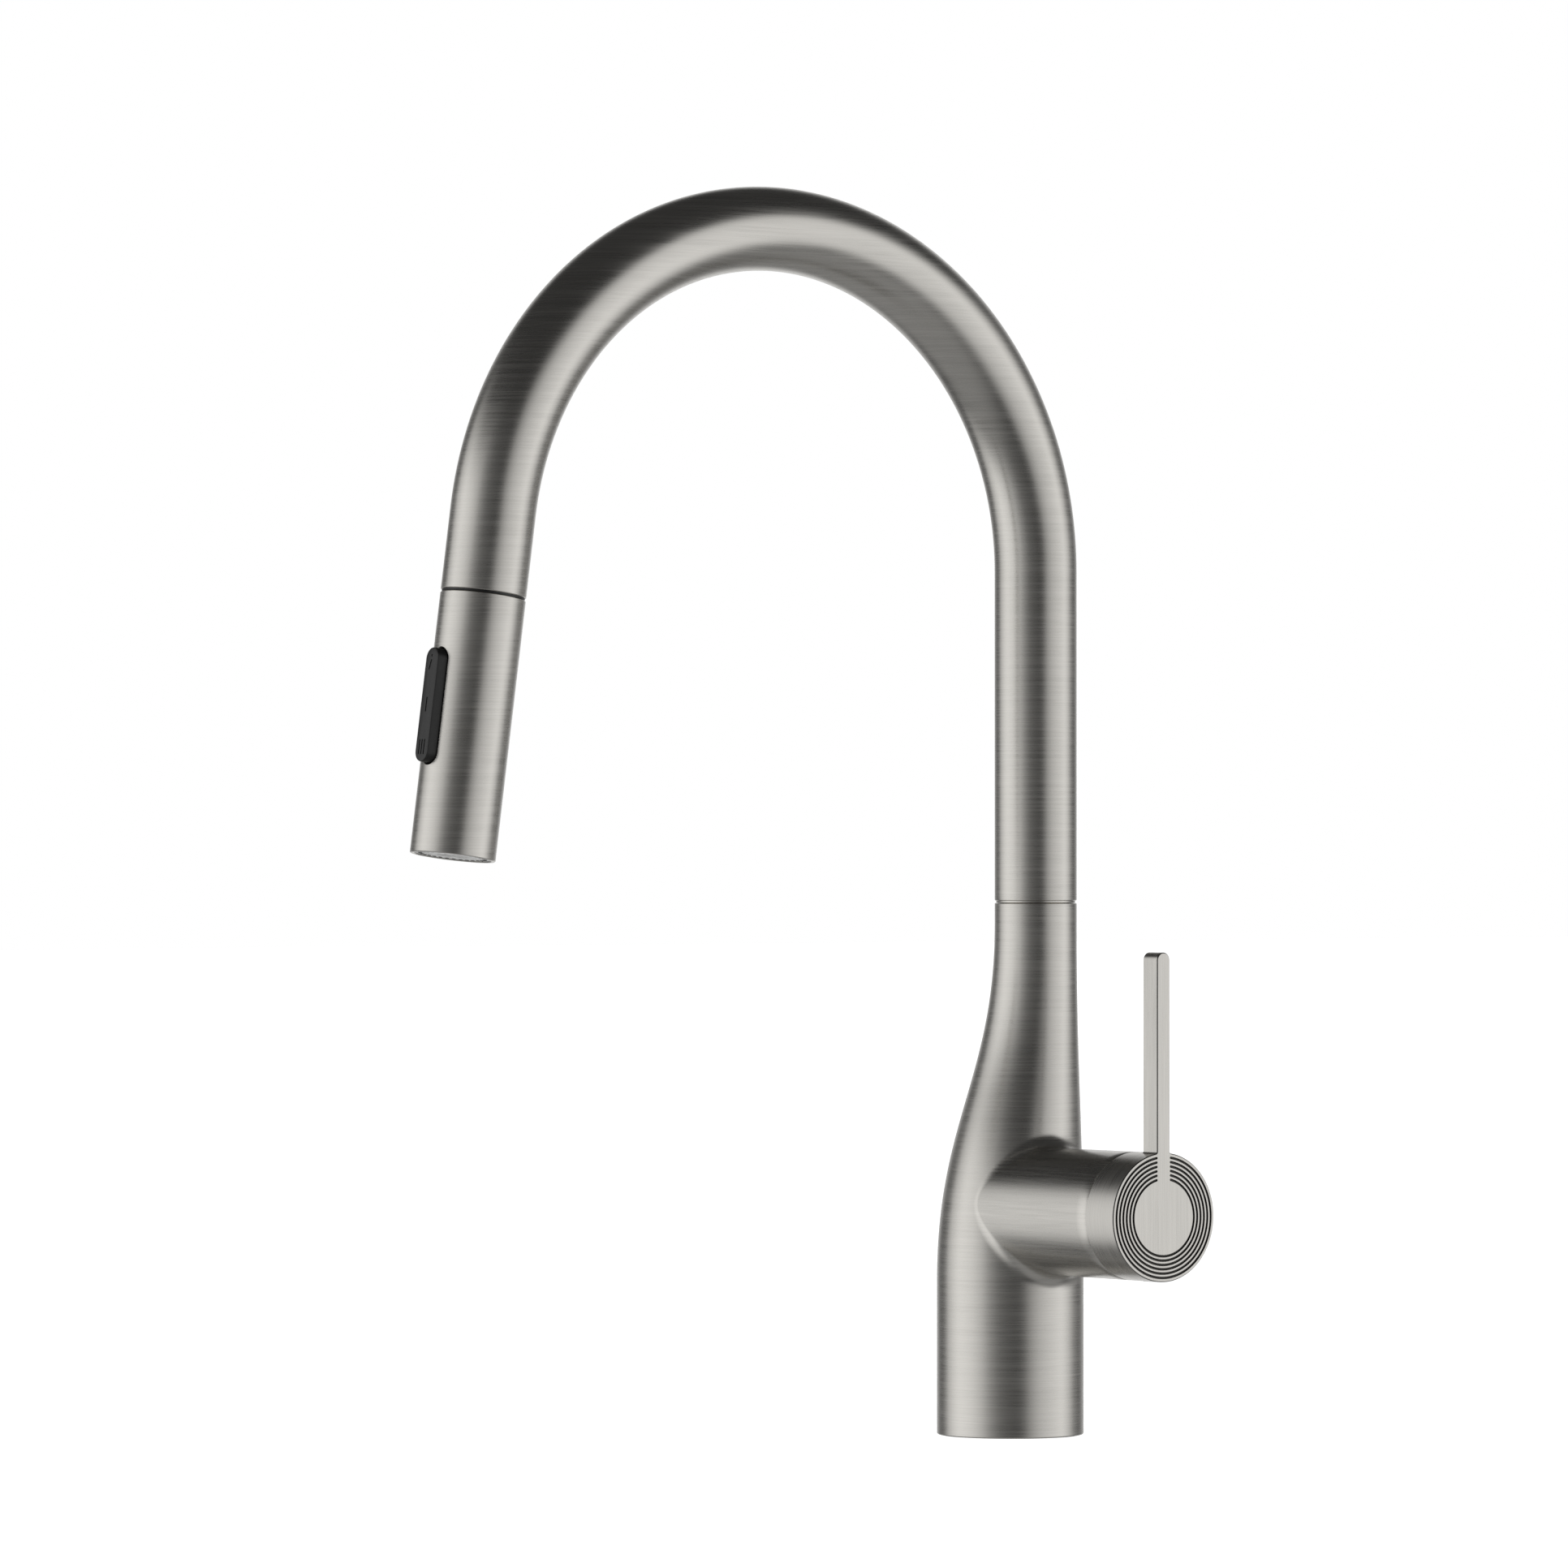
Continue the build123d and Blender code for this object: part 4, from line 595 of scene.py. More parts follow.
def rolling_ball(turn):
    """Where the ball touches the column, and its centre, for each direction round the boss axis.
    The centre is one ball radius off the column and one ball radius off the boss; Newton's
    method finds the angle and height on the column that satisfy both."""
    reach = BOSS_R + BOSS_FILLET
    wanted = np.stack([reach * np.cos(turn), BOSS_Z + reach * np.sin(turn)], axis=-1)
    angle = np.arcsin(reach * np.cos(turn) / (BASE_R + BOSS_FILLET))
    z = wanted[:, 1].copy()

    def centre_of(a, h):
        return column_point(a, h) + BOSS_FILLET * column_normal(a, h)

    for _ in range(NEWTON_STEPS):
        here = centre_of(angle, z)[:, 1:]
        by_angle = (centre_of(angle + NUDGE, z)[:, 1:] - here) / NUDGE
        by_height = (centre_of(angle, z + NUDGE)[:, 1:] - here) / NUDGE
        change = np.linalg.solve(np.stack([by_angle, by_height], axis=-1), (wanted - here)[..., None])
        angle, z = angle + change[:, 0, 0], z + change[:, 1, 0]
    return angle, z, centre_of(angle, z)


# %% Windows in a grid


def frame_points(angles, heights):
    """The edge points of a rectangular window in a grid, once round, as (angle, height) rows."""
    low, high = angles[0], angles[-1]
    bottom = np.stack([angles[:-1], np.full(len(angles) - 1, heights[0])], axis=-1)
    right = np.stack([np.full(len(heights) - 1, high), heights[:-1]], axis=-1)
    top = np.stack([angles[:0:-1], np.full(len(angles) - 1, heights[-1])], axis=-1)
    left = np.stack([np.full(len(heights), low), heights[::-1]], axis=-1)
    return np.concatenate([bottom, right, top, left])


def window_mask(columns, rows, angles, heights):
    """True for the squares of a grid that lie outside the window."""
    middle_a = (columns[:-1] + columns[1:]) / 2
    middle_h = (rows[:-1] + rows[1:]) / 2
    in_a = (middle_a > angles[0]) & (middle_a < angles[-1])
    in_h = (middle_h > heights[0]) & (middle_h < heights[-1])
    return ~(in_h[:, None] & in_a[None, :])


# %% The crease round the boss
WINDOW_SIDE = 80.0
WINDOW_ANGLES = np.radians(np.linspace(-WINDOW_SIDE, WINDOW_SIDE, 97))
WINDOW_HEIGHTS = np.linspace(42.0, 114.0, 61)
CREASE_HEIGHT, CREASE_WIDTH = 35.0, math.radians(76.0)
window = frame_points(WINDOW_ANGLES, WINDOW_HEIGHTS)
boss_turn = np.arctan2((window[:, 1] - BOSS_Z) / CREASE_HEIGHT, window[:, 0] / CREASE_WIDTH)
ball_angle, ball_z, ball_centre = rolling_ball(boss_turn)
print("crease meets the column between z", ball_z.min().round(1), "and", ball_z.max().round(1))


def patch_grid(outer, inner, place, rings=18):
    """Rings from a window's edge to an inner loop, evenly mixed in the surface's coordinates."""
    step = np.linspace(0.0, 1.0, rings + 1)[:, None, None]
    flat = outer * (1 - step) + inner * step
    return place(flat[..., 0], flat[..., 1])


def crease_grid(rings=12):
    """Arcs of the rolling ball, from where it touches the column to where it touches the boss."""
    radial = np.stack([np.zeros_like(boss_turn), np.cos(boss_turn), np.sin(boss_turn)], axis=-1)
    start = (column_point(ball_angle, ball_z) - ball_centre) / BOSS_FILLET
    end = -radial
    bend = np.arccos(np.clip(np.sum(start * end, axis=-1), -1, 1))[:, None]
    step = np.linspace(0.0, 1.0, rings + 1)[:, None, None]
    arc = (np.sin((1 - step) * bend) * start + np.sin(step * bend) * end) / np.sin(bend)
    return ball_centre + BOSS_FILLET * arc


# %% Boss surfaces
SEAM_BEVEL, BONNET_BORE_R, BONNET_SEAT_X = 0.4, 19.2, 60.0
CARTRIDGE_BORE_R, CHAMBER_FLOOR_X, LAST_RING = 17.6, 32.0, 1.0
dome_rim_x = PIVOT_X + math.sqrt(DOME_R**2 - BOSS_R**2)
dome_inner_x = PIVOT_X + math.sqrt(DOME_R**2 - (BOSS_R - SEAM_BEVEL) ** 2)


def boss_rows(profile):
    """Rings of the boss at (x, radius) corners, with the crease's own columns."""
    x, radius = np.array(profile, float).T
    ring = np.stack([np.cos(boss_turn), np.sin(boss_turn)], axis=-1)
    across = radius[:, None, None] * ring[None]
    along = np.broadcast_to(x[:, None, None], across.shape[:2] + (1,))
    place = np.concatenate([along, across], axis=-1)
    return place + np.array([0.0, 0.0, BOSS_Z])


def boss_outside():
    """From the crease's ring out to the seam, rim bevel, dome and the bore for the cartridge."""
    start = ball_centre[:, :1]
    steps = np.linspace(0.0, 1.0, 15)[:, None]
    last = dome_rim_x - SEAM_BEVEL
    x = start.T * (1 - steps) + last * steps
    wall = np.stack([x, np.broadcast_to(BOSS_R * np.cos(boss_turn), x.shape),
                     np.broadcast_to(BOSS_Z + BOSS_R * np.sin(boss_turn), x.shape)], axis=-1)
    dome_radii = np.linspace(BOSS_R - SEAM_BEVEL, BONNET_BORE_R, 5)
    dome = [(PIVOT_X + math.sqrt(DOME_R**2 - r**2), r) for r in dome_radii]
    chamber = [(BONNET_SEAT_X, BONNET_BORE_R), (BONNET_SEAT_X, CARTRIDGE_BORE_R),
               (CHAMBER_FLOOR_X, CARTRIDGE_BORE_R), (CHAMBER_FLOOR_X, LAST_RING)]
    profile = [(last, BOSS_R), *dome, *chamber]
    end = Seat((CHAMBER_FLOOR_X, 0.0, BOSS_Z), Y_AXIS, Z_AXIS, X_AXIS)
    tip = np.stack([np.cos(boss_turn), np.sin(boss_turn)], axis=-1)
    return [wall, boss_rows(profile), flat_face(end, 0.0, tip)]


# %% The column's own grid, and the lock screw's hole
HOLES_BELOW = [  # (centre, radius, depth): hose, hot, cold, mixed water, fixing stud
    ((0.0, COLUMN_Y), 7.5, 140.0), ((12.2, 4.6), 4.5, 14.0), ((9.5, -8.5), 4.5, 14.0),
    ((-11.5, -1.0), 4.5, 14.0), ((0.0, -10.8), 3.4, 22.0),
]
FOOT_CHAMFER, NECK_BEVEL, SOCKET_R, SOCKET_FLOOR = 0.4, 0.25, 11.65, 146.0
side_angles = np.radians(np.linspace(WINDOW_SIDE, 360.0 - WINDOW_SIDE, 91))
column_angles = np.concatenate([WINDOW_ANGLES, side_angles[1:]])
foot_heights = np.linspace(FOOT_CHAMFER, WINDOW_HEIGHTS[0], 9)
neck_heights = np.linspace(WINDOW_HEIGHTS[-1], NECK_TOP - NECK_BEVEL, 58)
column_heights = np.concatenate([foot_heights, WINDOW_HEIGHTS[1:], neck_heights[1:]])
LOCK_Z, LOCK_R, LOCK_FLOOR = NECK_TOP - 17.8, 2.0, 12.2
LOCK_WINDOW, LOCK_WINDOW_ANGLE = 3.2, math.radians(13.0)
lock_angles = column_angles[abs(column_angles - np.pi / 2) < LOCK_WINDOW_ANGLE]
lock_heights = column_heights[abs(column_heights - LOCK_Z) < LOCK_WINDOW]


def lock_hole_grids():
    """The lock screw's hole in the back of the neck: a patch with a round edge, wall and floor."""
    outer = frame_points(lock_angles, lock_heights)
    towards = np.arctan2(outer[:, 1] - LOCK_Z, TUBE_R * np.cos(outer[:, 0]))
    x, up = LOCK_R * np.cos(towards), LOCK_R * np.sin(towards)
    edge = np.stack([np.arccos(x / column_radius(LOCK_Z + up)), LOCK_Z + up], axis=-1)
    mouth = column_point(edge[:, 0], edge[:, 1])
    deep = np.stack([x, np.full_like(x, COLUMN_Y + LOCK_FLOOR), LOCK_Z + up], axis=-1)
    seat = Seat((0.0, COLUMN_Y, LOCK_Z), X_AXIS, Z_AXIS, Y_AXIS)
    floor = flat_face(seat, LOCK_FLOOR, np.stack([x, up], axis=-1)[:-1])
    return [patch_grid(outer, edge, column_point, rings=6), np.stack([mouth, deep]), floor]


# %% [markdown]
# ## All surfaces of the body
# The column leaves out two windows. The boss with its crease fills the large one, the lock
# screw's hole the small one. Below are the foot's five holes, on top the socket for the spout.

# %% Body surfaces


def body_grids():
    """The column less its windows, then patches, crease, boss, foot and neck."""
    angle, height = np.meshgrid(column_angles, column_heights)
    outside = column_point(angle, height)
    keep = window_mask(column_angles, column_heights, WINDOW_ANGLES, WINDOW_HEIGHTS)
    keep &= window_mask(column_angles, column_heights, lock_angles, lock_heights)
    grids = [(outside, keep), *lock_hole_grids()]
    grids.append(patch_grid(window, np.stack([ball_angle, ball_z], axis=-1), column_point))
    grids.append(crease_grid())
    grids += boss_outside()
    ground = Seat((0, 0, 0), X_AXIS, Y_AXIS, Z_AXIS)
    ring = np.stack([np.cos(column_angles[:-1]), np.sin(column_angles[:-1])], axis=-1)
    holes = [disc_loop(at, radius, 48) for at, radius, _ in HOLES_BELOW]
    foot = (BASE_R - FOOT_CHAMFER) * ring
    grids.append(flat_face(ground, 0.0, foot, holes))
    grids.append(loop_wall(ground, [(foot, 0.0), (BASE_R * ring, FOOT_CHAMFER)]))
    for (_, _, depth), loop in zip(HOLES_BELOW, holes):
        grids.append(loop_wall(ground, [(loop, 0.0), (loop, depth)]))
        grids.append(flat_face(ground, depth, loop))
    centre = np.array([0.0, COLUMN_Y])
    top = [(TUBE_R, NECK_TOP - NECK_BEVEL), (TUBE_R - NECK_BEVEL, NECK_TOP), (SOCKET_R, NECK_TOP),
           (SOCKET_R, SOCKET_FLOOR), (LAST_RING, SOCKET_FLOOR)]
    grids.append(loop_wall(ground, [(centre + radius * ring, height) for radius, height in top]))
    grids.append(flat_face(ground, SOCKET_FLOOR, centre + LAST_RING * ring))
    return grids


# %% Body piece
def body_finish_and_shade(middle):
    """1 for the dome behind the handle's seam, which is painted shade; 0 for the rest."""
    across = np.hypot(middle[:, 1], middle[:, 2] - BOSS_Z)
    return np.where((middle[:, 0] > CHAMBER_FLOOR_X) & (across < BOSS_R - SEAM_BEVEL), 1, 0)


# The body's second material is painted shade on the dome inside the handle's seam.
add_piece("body_skin", body_grids(), [brushed_round, edge_and_seam_shade], "body", "body_casting", choose=body_finish_and_shade)

# %% [markdown]
# ## The handle
# The round cap carries on the boss, and a flat lever stands up from it. Seen from the front both
# make one keyhole outline with a tiny rounded inner corner. Six fine rings are turned into the
# face; they stop short of the lever, so each one is an open ring with round ends.

# %% Handle outline
LEVER_HALF, LEVER_TOP, LEVER_DEPTH, ROOT_FILLET, FACE_BEVEL = 2.7, 164.8, 7.4, 0.8, 0.3
LEVER_TIP = LEVER_TOP - BOSS_Z
LEVER_BACK_X = CAP_FACE_X - LEVER_DEPTH
root = np.array([LEVER_HALF + ROOT_FILLET, 0.0])
root[1] = math.sqrt((BOSS_R + ROOT_FILLET) ** 2 - root[0] ** 2)
ROOT_TURN = math.atan2(root[1], root[0])
handle_seat = Seat(BOSS_ORIGIN, Y_AXIS, Z_AXIS, X_AXIS)


def arc_points(centre, radius, first, last, count):
    """Points on a circle at even angles from first to last."""
    turn = np.linspace(first, last, count + 1)
    return np.stack([centre[0] + radius * np.cos(turn), centre[1] + radius * np.sin(turn)], axis=-1)


def keyhole(inset):
    """Right half from below the cap over the root to the lever's tip, then its mirror image."""
    tip_z = LEVER_TIP - LEVER_HALF
    half = LEVER_HALF - inset
    side = np.stack([np.full(25, half), np.linspace(root[1], tip_z, 25)], axis=-1)
    right = np.concatenate([
        arc_points((0, 0), BOSS_R - inset, -np.pi / 2, ROOT_TURN, 84),
        arc_points(root, ROOT_FILLET + inset, ROOT_TURN + np.pi, np.pi, 7)[1:],
        side[1:],
        arc_points((0, tip_z), half, 0.0, np.pi / 2, 12)[1:],
    ])
    left = right[::-1][1:-1] * np.array([-1.0, 1.0])
    return np.concatenate([right, left])


# %% Grooves in the face
GROOVE_DEPTH, GROOVE_HALF, GROOVE_FLOOR_HALF, GROOVE_GAP = 0.45, 0.42, 0.19, 3.0
GROOVE_RADII = BOSS_R - 1.45 - 1.44 * np.arange(6)


def open_ring(radius, half_width, gap_half, count=110):
    """A ring that stops beside the lever, drawn as one closed loop with round ends."""
    lean = math.acos(gap_half / radius)
    first, last = np.pi - lean, 2 * np.pi + lean
    ends = [radius * np.array([math.cos(a), math.sin(a)]) for a in (first, last)]
    outer = arc_points((0, 0), radius + half_width, first, last, count)
    inner = arc_points((0, 0), radius - half_width, last, first, count)
    cap_last = arc_points(ends[1], half_width, last, last + np.pi, 6)[1:-1]
    cap_first = arc_points(ends[0], half_width, first + np.pi, first + 2 * np.pi, 6)[1:-1]
    return np.concatenate([outer, cap_last, inner, cap_first])


grooves = [open_ring(radius, GROOVE_HALF, GROOVE_GAP) for radius in GROOVE_RADII]
groove_floors = [open_ring(radius, GROOVE_FLOOR_HALF, GROOVE_GAP) for radius in GROOVE_RADII]
print("groove radii", GROOVE_RADII.round(2))


# %% Handle surfaces
HUB_R, HUB_START_X, STEM_HOLE_R, STEM_HOLE_END_X = 7.0, 66.0, 5.75, 79.5


def handle_grids():
    """The grooved face, the keyhole's side, the lever's back, the cap and the hub inside it."""
    cap_inner_x = PIVOT_X + math.sqrt(CAP_INNER_R**2 - (BOSS_R - SEAM_BEVEL) ** 2)
    cap_rim_x = PIVOT_X + math.sqrt(CAP_INNER_R**2 - BOSS_R**2) + SEAM_BEVEL
    outline = keyhole(0.0)
    front, shoulder = CAP_FACE_X, CAP_FACE_X - FACE_BEVEL
    grids = [flat_face(handle_seat, front, keyhole(FACE_BEVEL), grooves)]
    grids += cut_loops(handle_seat, front, GROOVE_DEPTH, grooves, groove_floors)
    side = [(keyhole(FACE_BEVEL), front), (outline, shoulder), (outline, LEVER_BACK_X)]
    grids.append(loop_wall(handle_seat, side))
    right = np.linspace(-np.pi / 2, ROOT_TURN, 85)
    behind = np.linspace(ROOT_TURN, np.pi - ROOT_TURN, 9)
    turn = np.concatenate([right, behind[1:], np.pi - right[::-1][1:]])[:-1]
    circle = np.stack([np.cos(turn), np.sin(turn)], axis=-1)
    bar = np.concatenate([outline[84:-83], BOSS_R * circle[84:93][::-1][1:-1]])
    grids.append(flat_face(handle_seat, LEVER_BACK_X, bar))
    ball_radii = np.linspace(BOSS_R - SEAM_BEVEL, HUB_R, 16)
    ball = [(r, PIVOT_X + math.sqrt(CAP_INNER_R**2 - r**2)) for r in ball_radii]
    hub = [(HUB_R, HUB_START_X), (STEM_HOLE_R, HUB_START_X), (STEM_HOLE_R, STEM_HOLE_END_X),
           (LAST_RING, STEM_HOLE_END_X)]
    profile = [(BOSS_R, LEVER_BACK_X), (BOSS_R, cap_rim_x), *ball, *hub]
    grids.append(loop_wall(handle_seat, [(radius * circle, x) for radius, x in profile]))
    grids.append(flat_face(handle_seat, STEM_HOLE_END_X, circle))
    print("seam opens from", round(dome_inner_x, 2), "to", round(cap_inner_x, 2))
    return grids


# %% Handle piece
NEAR, GROOVED_R = 0.01, BOSS_R - 0.8


def handle_finish_and_shade(middle):
    """0 face and lever, 1 side of the cap, 2 painted shade on the narrow bevels, 3 darker painted shade in
    the grooves and on the seam's wall.
    """
    depth = CAP_FACE_X - middle[:, 0]
    across = np.hypot(middle[:, 1], middle[:, 2] - BOSS_Z)
    groove = (depth > NEAR) & (depth < GROOVE_DEPTH + NEAR) & (across < GROOVED_R)
    bevel = (depth > NEAR) & (depth < FACE_BEVEL - NEAR) & ~groove
    cap = (depth > FACE_BEVEL + NEAR) & (across < BOSS_R + NEAR) & ~groove
    inner = cap & (depth > GROOVE_DEPTH + NEAR) & (across < BOSS_R - SEAM_BEVEL)
    return np.select([groove | inner, bevel, cap], [3, 2, 1], 0)


# The last two materials are painted shade: dim on the bevels, near black in the grooves and the seam.
handle_finishes_and_shade = [brushed_upright, brushed_cap, edge_and_seam_shade, groove_and_seam_shade]
add_piece("handle_skin", handle_grids(), handle_finishes_and_shade, "handle", "handle", choose=handle_finish_and_shade)

# %% [markdown]
# ## The plug under the cap
# A set screw holds the handle on the cartridge. Its hole is underneath, closed by a small black
# plug that follows the round of the cap.

# %% Plug
PLUG_FROM_FACE, PLUG_DEPTH = 7.0, 1.2


def plug_grids():
    """Circles laid on the cap's underside: z is where the cap's round is at that y."""
    radius = np.array([0.0, 1.2, 2.3, 2.5, 2.7])[:, None]
    raised = np.array([0.06, 0.06, 0.06, 0.05, -0.15])[:, None]
    turn = circle_columns(40)[None, :]
    x, y = CAP_FACE_X - PLUG_FROM_FACE + radius * np.cos(turn), radius * np.sin(turn)
    z = BOSS_Z - np.sqrt((BOSS_R + raised) ** 2 - y**2)
    top = np.stack([x, y, z], axis=-1)
    sunk = top[-1:].copy()
    sunk[..., 2] = BOSS_Z - BOSS_R + PLUG_DEPTH
    lid = np.broadcast_to(sunk.mean(axis=1, keepdims=True), sunk.shape)
    return [np.concatenate([top, sunk, lid])]


add_piece("plug_skin", plug_grids(), black_plastic, "handle", "handle_plug")

# %% [markdown]
# ## Along the gooseneck
# Spout, hose, dock, ferrule and nut are all round pieces on one line: up the column, over the arc
# and straight down the spray axis. One helper gives the place of any point of that line, and a
# list of (distance, radius) corners then makes any piece on it.

# %% Rings along the line
ARC_LENGTH = ARC_R * ARC_SWEEP


def line_place(distance):
    """Centre and outward direction for distances from the end of the arc, negative up the spout."""
    turn = ARC_SWEEP + np.clip(distance, -ARC_LENGTH, 0.0) / ARC_R
    outward = np.stack([np.zeros_like(turn), np.cos(turn), np.sin(turn)], axis=-1)
    centre = ARC_CENTRE + ARC_R * outward
    centre = centre + np.maximum(distance, 0.0)[:, None] * SPRAY_DIR
    return centre + np.minimum(distance + ARC_LENGTH, 0.0)[:, None] * Z_AXIS, outward


def pipe(corners, count=96):
    """Rings round the line from (distance, radius) corners."""
    distance, radius = np.array(corners, float).T
    centre, outward = line_place(distance)
    turn = circle_columns(count)
    ring = np.cos(turn)[None, :, None] * outward[:, None, :] + np.sin(turn)[None, :, None] * X_AXIS
    return centre[:, None, :] + radius[:, None, None] * ring


def runs(first, last, radius, step):
    """Corners at one radius from first to last, about one step apart."""
    count = max(2, int(abs(last - first) / step) + 1)
    return [(s, radius) for s in np.linspace(first, last, count)]


def distance_of_height(z):
    """Distance of a height on the column: the whole arc, then down from its foot."""
    return -ARC_LENGTH - (ARC_Z - z)


print("the arc is", round(ARC_LENGTH, 1), "mm long")

# %% Spout tube
DOCK_START, DOCK_END, RIM = 27.45, 28.2, 0.25
spout_low = distance_of_height(SPOUT_START)
spout_corners = [(spout_low, TUBE_R - RIM), *runs(spout_low + RIM, DOCK_START - RIM, TUBE_R, 3.0),
                 (DOCK_START, TUBE_R - RIM), *runs(DOCK_START, spout_low, TUBE_BORE, 6.0),
                 (spout_low, TUBE_R - RIM)]
add_piece("spout_skin", [pipe(spout_corners, 120)], brushed_round, "spout", "spout_tube")

# %% Glide ring and dock
RING_START, RING_BORE, RING_R, SMALL_BEVEL = 180.9, 10.65, 13.5, 0.1
ring_low, ring_top = distance_of_height(RING_START), distance_of_height(SPOUT_START)
ring_corners = [(ring_low, RING_BORE), (ring_low, RING_R - SMALL_BEVEL), (ring_low + SMALL_BEVEL, RING_R),
                (ring_top, RING_R), (ring_top, RING_BORE), (ring_low, RING_BORE)]
add_piece("glide_ring_skin", [pipe(ring_corners)], brushed_round, "spout", "swivel_ring")

DOCK_PLUG_START, DOCK_BORE, DOCK_PLUG_R, DOCK_R, MOUTH_BEVEL = 17.0, 10.0, 12.75, 13.6, 0.3
dock_corners = [
    (DOCK_PLUG_START, DOCK_BORE), (DOCK_PLUG_START, DOCK_PLUG_R), (DOCK_START, DOCK_PLUG_R),
    (DOCK_START, DOCK_R - SMALL_BEVEL), (DOCK_START + SMALL_BEVEL, DOCK_R), (DOCK_END - SMALL_BEVEL, DOCK_R),
    (DOCK_END, DOCK_R - SMALL_BEVEL), (DOCK_END, DOCK_BORE + MOUTH_BEVEL),
    (DOCK_END - MOUTH_BEVEL, DOCK_BORE), (DOCK_PLUG_START, DOCK_BORE),
]
add_piece("dock_skin", [pipe(dock_corners)], black_plastic, "spout", "dock_collar")

# %% [markdown]
# ## The hose
# One part of the hose stands in the column and over half the arc. The other part goes from the
# crown to the ferrule and has to reach further when the head is pulled out; here it is made as one
# fixed length that rides on no body.

# %% Hose
HOSE_R, HOSE_BORE, HOSE_FOOT_Z, HOSE_TOP, SPLIT_GAP = 5.75, 3.4, 2.0, 20.0, 0.2
crown = -ARC_LENGTH / 2


def hose_tube(first, last):
    """A closed length of hose: outside there, inside back."""
    outside, back = runs(first, last, HOSE_R, 2.5), runs(last, first, HOSE_BORE, 6.0)
    return [pipe([*outside, *back, (first, HOSE_R)], 40)]


standing = hose_tube(distance_of_height(HOSE_FOOT_Z), crown - SPLIT_GAP)
add_piece("standing_hose_skin", standing, hose_jacket, "spout", "spray_hose")
hose_skin = add_piece("hose_skin", hose_tube(crown, HOSE_TOP), hose_jacket, None)
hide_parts("hose_end")
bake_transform(hose_skin)

# %% [markdown]
# ## Ferrule and nut
# A crimped sleeve grips the hose and ends in a ball; the nut closes over the ball, so the head can
# swivel. Both show only when the head is pulled out. The radius of a ball at a distance d from its
# middle is the root of its own radius squared less d squared.

# %% Ferrule
FERRULE_START, FERRULE_END, FERRULE_R, FERRULE_BORE, SLEEVE_FLOOR = 3.5, 24.0, 6.2, 5.8, 22.0
CRIMPS, CRIMP_HALF, CRIMP_FLAT, CRIMP_R = (8.0, 12.0, 16.0), 0.9, 0.5, 5.95
HOSE_BALL_AT, HOSE_BALL_R, HOSE_BALL_START, HOSE_BALL_END = 32.0, 7.0, 26.3, 34.1
BALL_NECK_R, WATER_R, SLEEVE_EDGE, SLEEVE_BEVEL = 4.0, 3.2, 0.15, 0.3
ferrule = [(FERRULE_START, FERRULE_BORE), (FERRULE_START, FERRULE_R - SLEEVE_EDGE),
           (FERRULE_START + SLEEVE_EDGE, FERRULE_R)]
for at in CRIMPS:
    ferrule += [(at - CRIMP_HALF, FERRULE_R), (at - CRIMP_FLAT, CRIMP_R)]
    ferrule += [(at + CRIMP_FLAT, CRIMP_R), (at + CRIMP_HALF, FERRULE_R)]
ferrule += [(FERRULE_END - SLEEVE_BEVEL, FERRULE_R), (FERRULE_END, FERRULE_R - SLEEVE_BEVEL)]
ferrule += [(FERRULE_END, BALL_NECK_R), (HOSE_BALL_START - SMALL_BEVEL, BALL_NECK_R)]
ferrule += [(s, math.sqrt(HOSE_BALL_R**2 - (s - HOSE_BALL_AT) ** 2))
            for s in np.linspace(HOSE_BALL_START, HOSE_BALL_END, 18)]
ferrule += [(HOSE_BALL_END, WATER_R), (SLEEVE_FLOOR, WATER_R), (SLEEVE_FLOOR, FERRULE_BORE),
            (FERRULE_START, FERRULE_BORE)]
add_piece("ferrule_skin", [pipe(ferrule)], turned_steel, "hose_end", "hose_ferrule")

# %% Swivel nut
NUT_START, NUT_END, NUT_R, NUT_BORE, NUT_MOUTH_R = 24.6, 42.0, 9.6, 8.2, 4.35
NUT_SHOULDER = [(NUT_START, 8.0), (24.75, 8.25), (27.35, 9.5), (27.6, NUT_R)]
NUT_SEAT_END, NUT_SOCKET_R, NUT_SOCKET_START = 34.2, 7.05, 26.45
nut = [(NUT_START, NUT_MOUTH_R), *NUT_SHOULDER, (NUT_END, NUT_R), (NUT_END, NUT_BORE),
       (NUT_SEAT_END, NUT_BORE), (NUT_SEAT_END, NUT_SOCKET_R)]
nut += [(s, math.sqrt(NUT_SOCKET_R**2 - (s - HOSE_BALL_AT) ** 2))
        for s in np.linspace(HOSE_BALL_AT, NUT_SOCKET_START, 10)]
nut += [(NUT_START, NUT_MOUTH_R)]
add_piece("nut_skin", [pipe(nut)], turned_brass, "spray_head", "swivel_nut")

# %% [markdown]
# ## The bonnet
# Under the handle a brass ring with a domed end closes the cartridge. It shows as a bright sliver
# when the lever is raised.

# %% Bonnet
BONNET_R, BONNET_BORE = 19.1, 15.1
bonnet_dome = [(PIVOT_X + math.sqrt(DOME_R**2 - r**2), r) for r in np.linspace(BONNET_R, BONNET_BORE, 7)]
bonnet = [(BONNET_SEAT_X, BONNET_BORE), (BONNET_SEAT_X, BONNET_R), *bonnet_dome, (BONNET_SEAT_X, BONNET_BORE)]
add_piece("bonnet_skin", [lathe(bonnet, BOSS_ORIGIN, X_AXIS, Y_AXIS)], turned_brass, "body", "bonnet")

# %% [markdown]
# ## The spray head
# The head is a plain tube with one window for the button. The window is straight sided when seen
# from the front, so on the round tube its edge rises and falls. The tube's own grid leaves a
# rectangle out, and rings of points run from that rectangle to the window's edge.

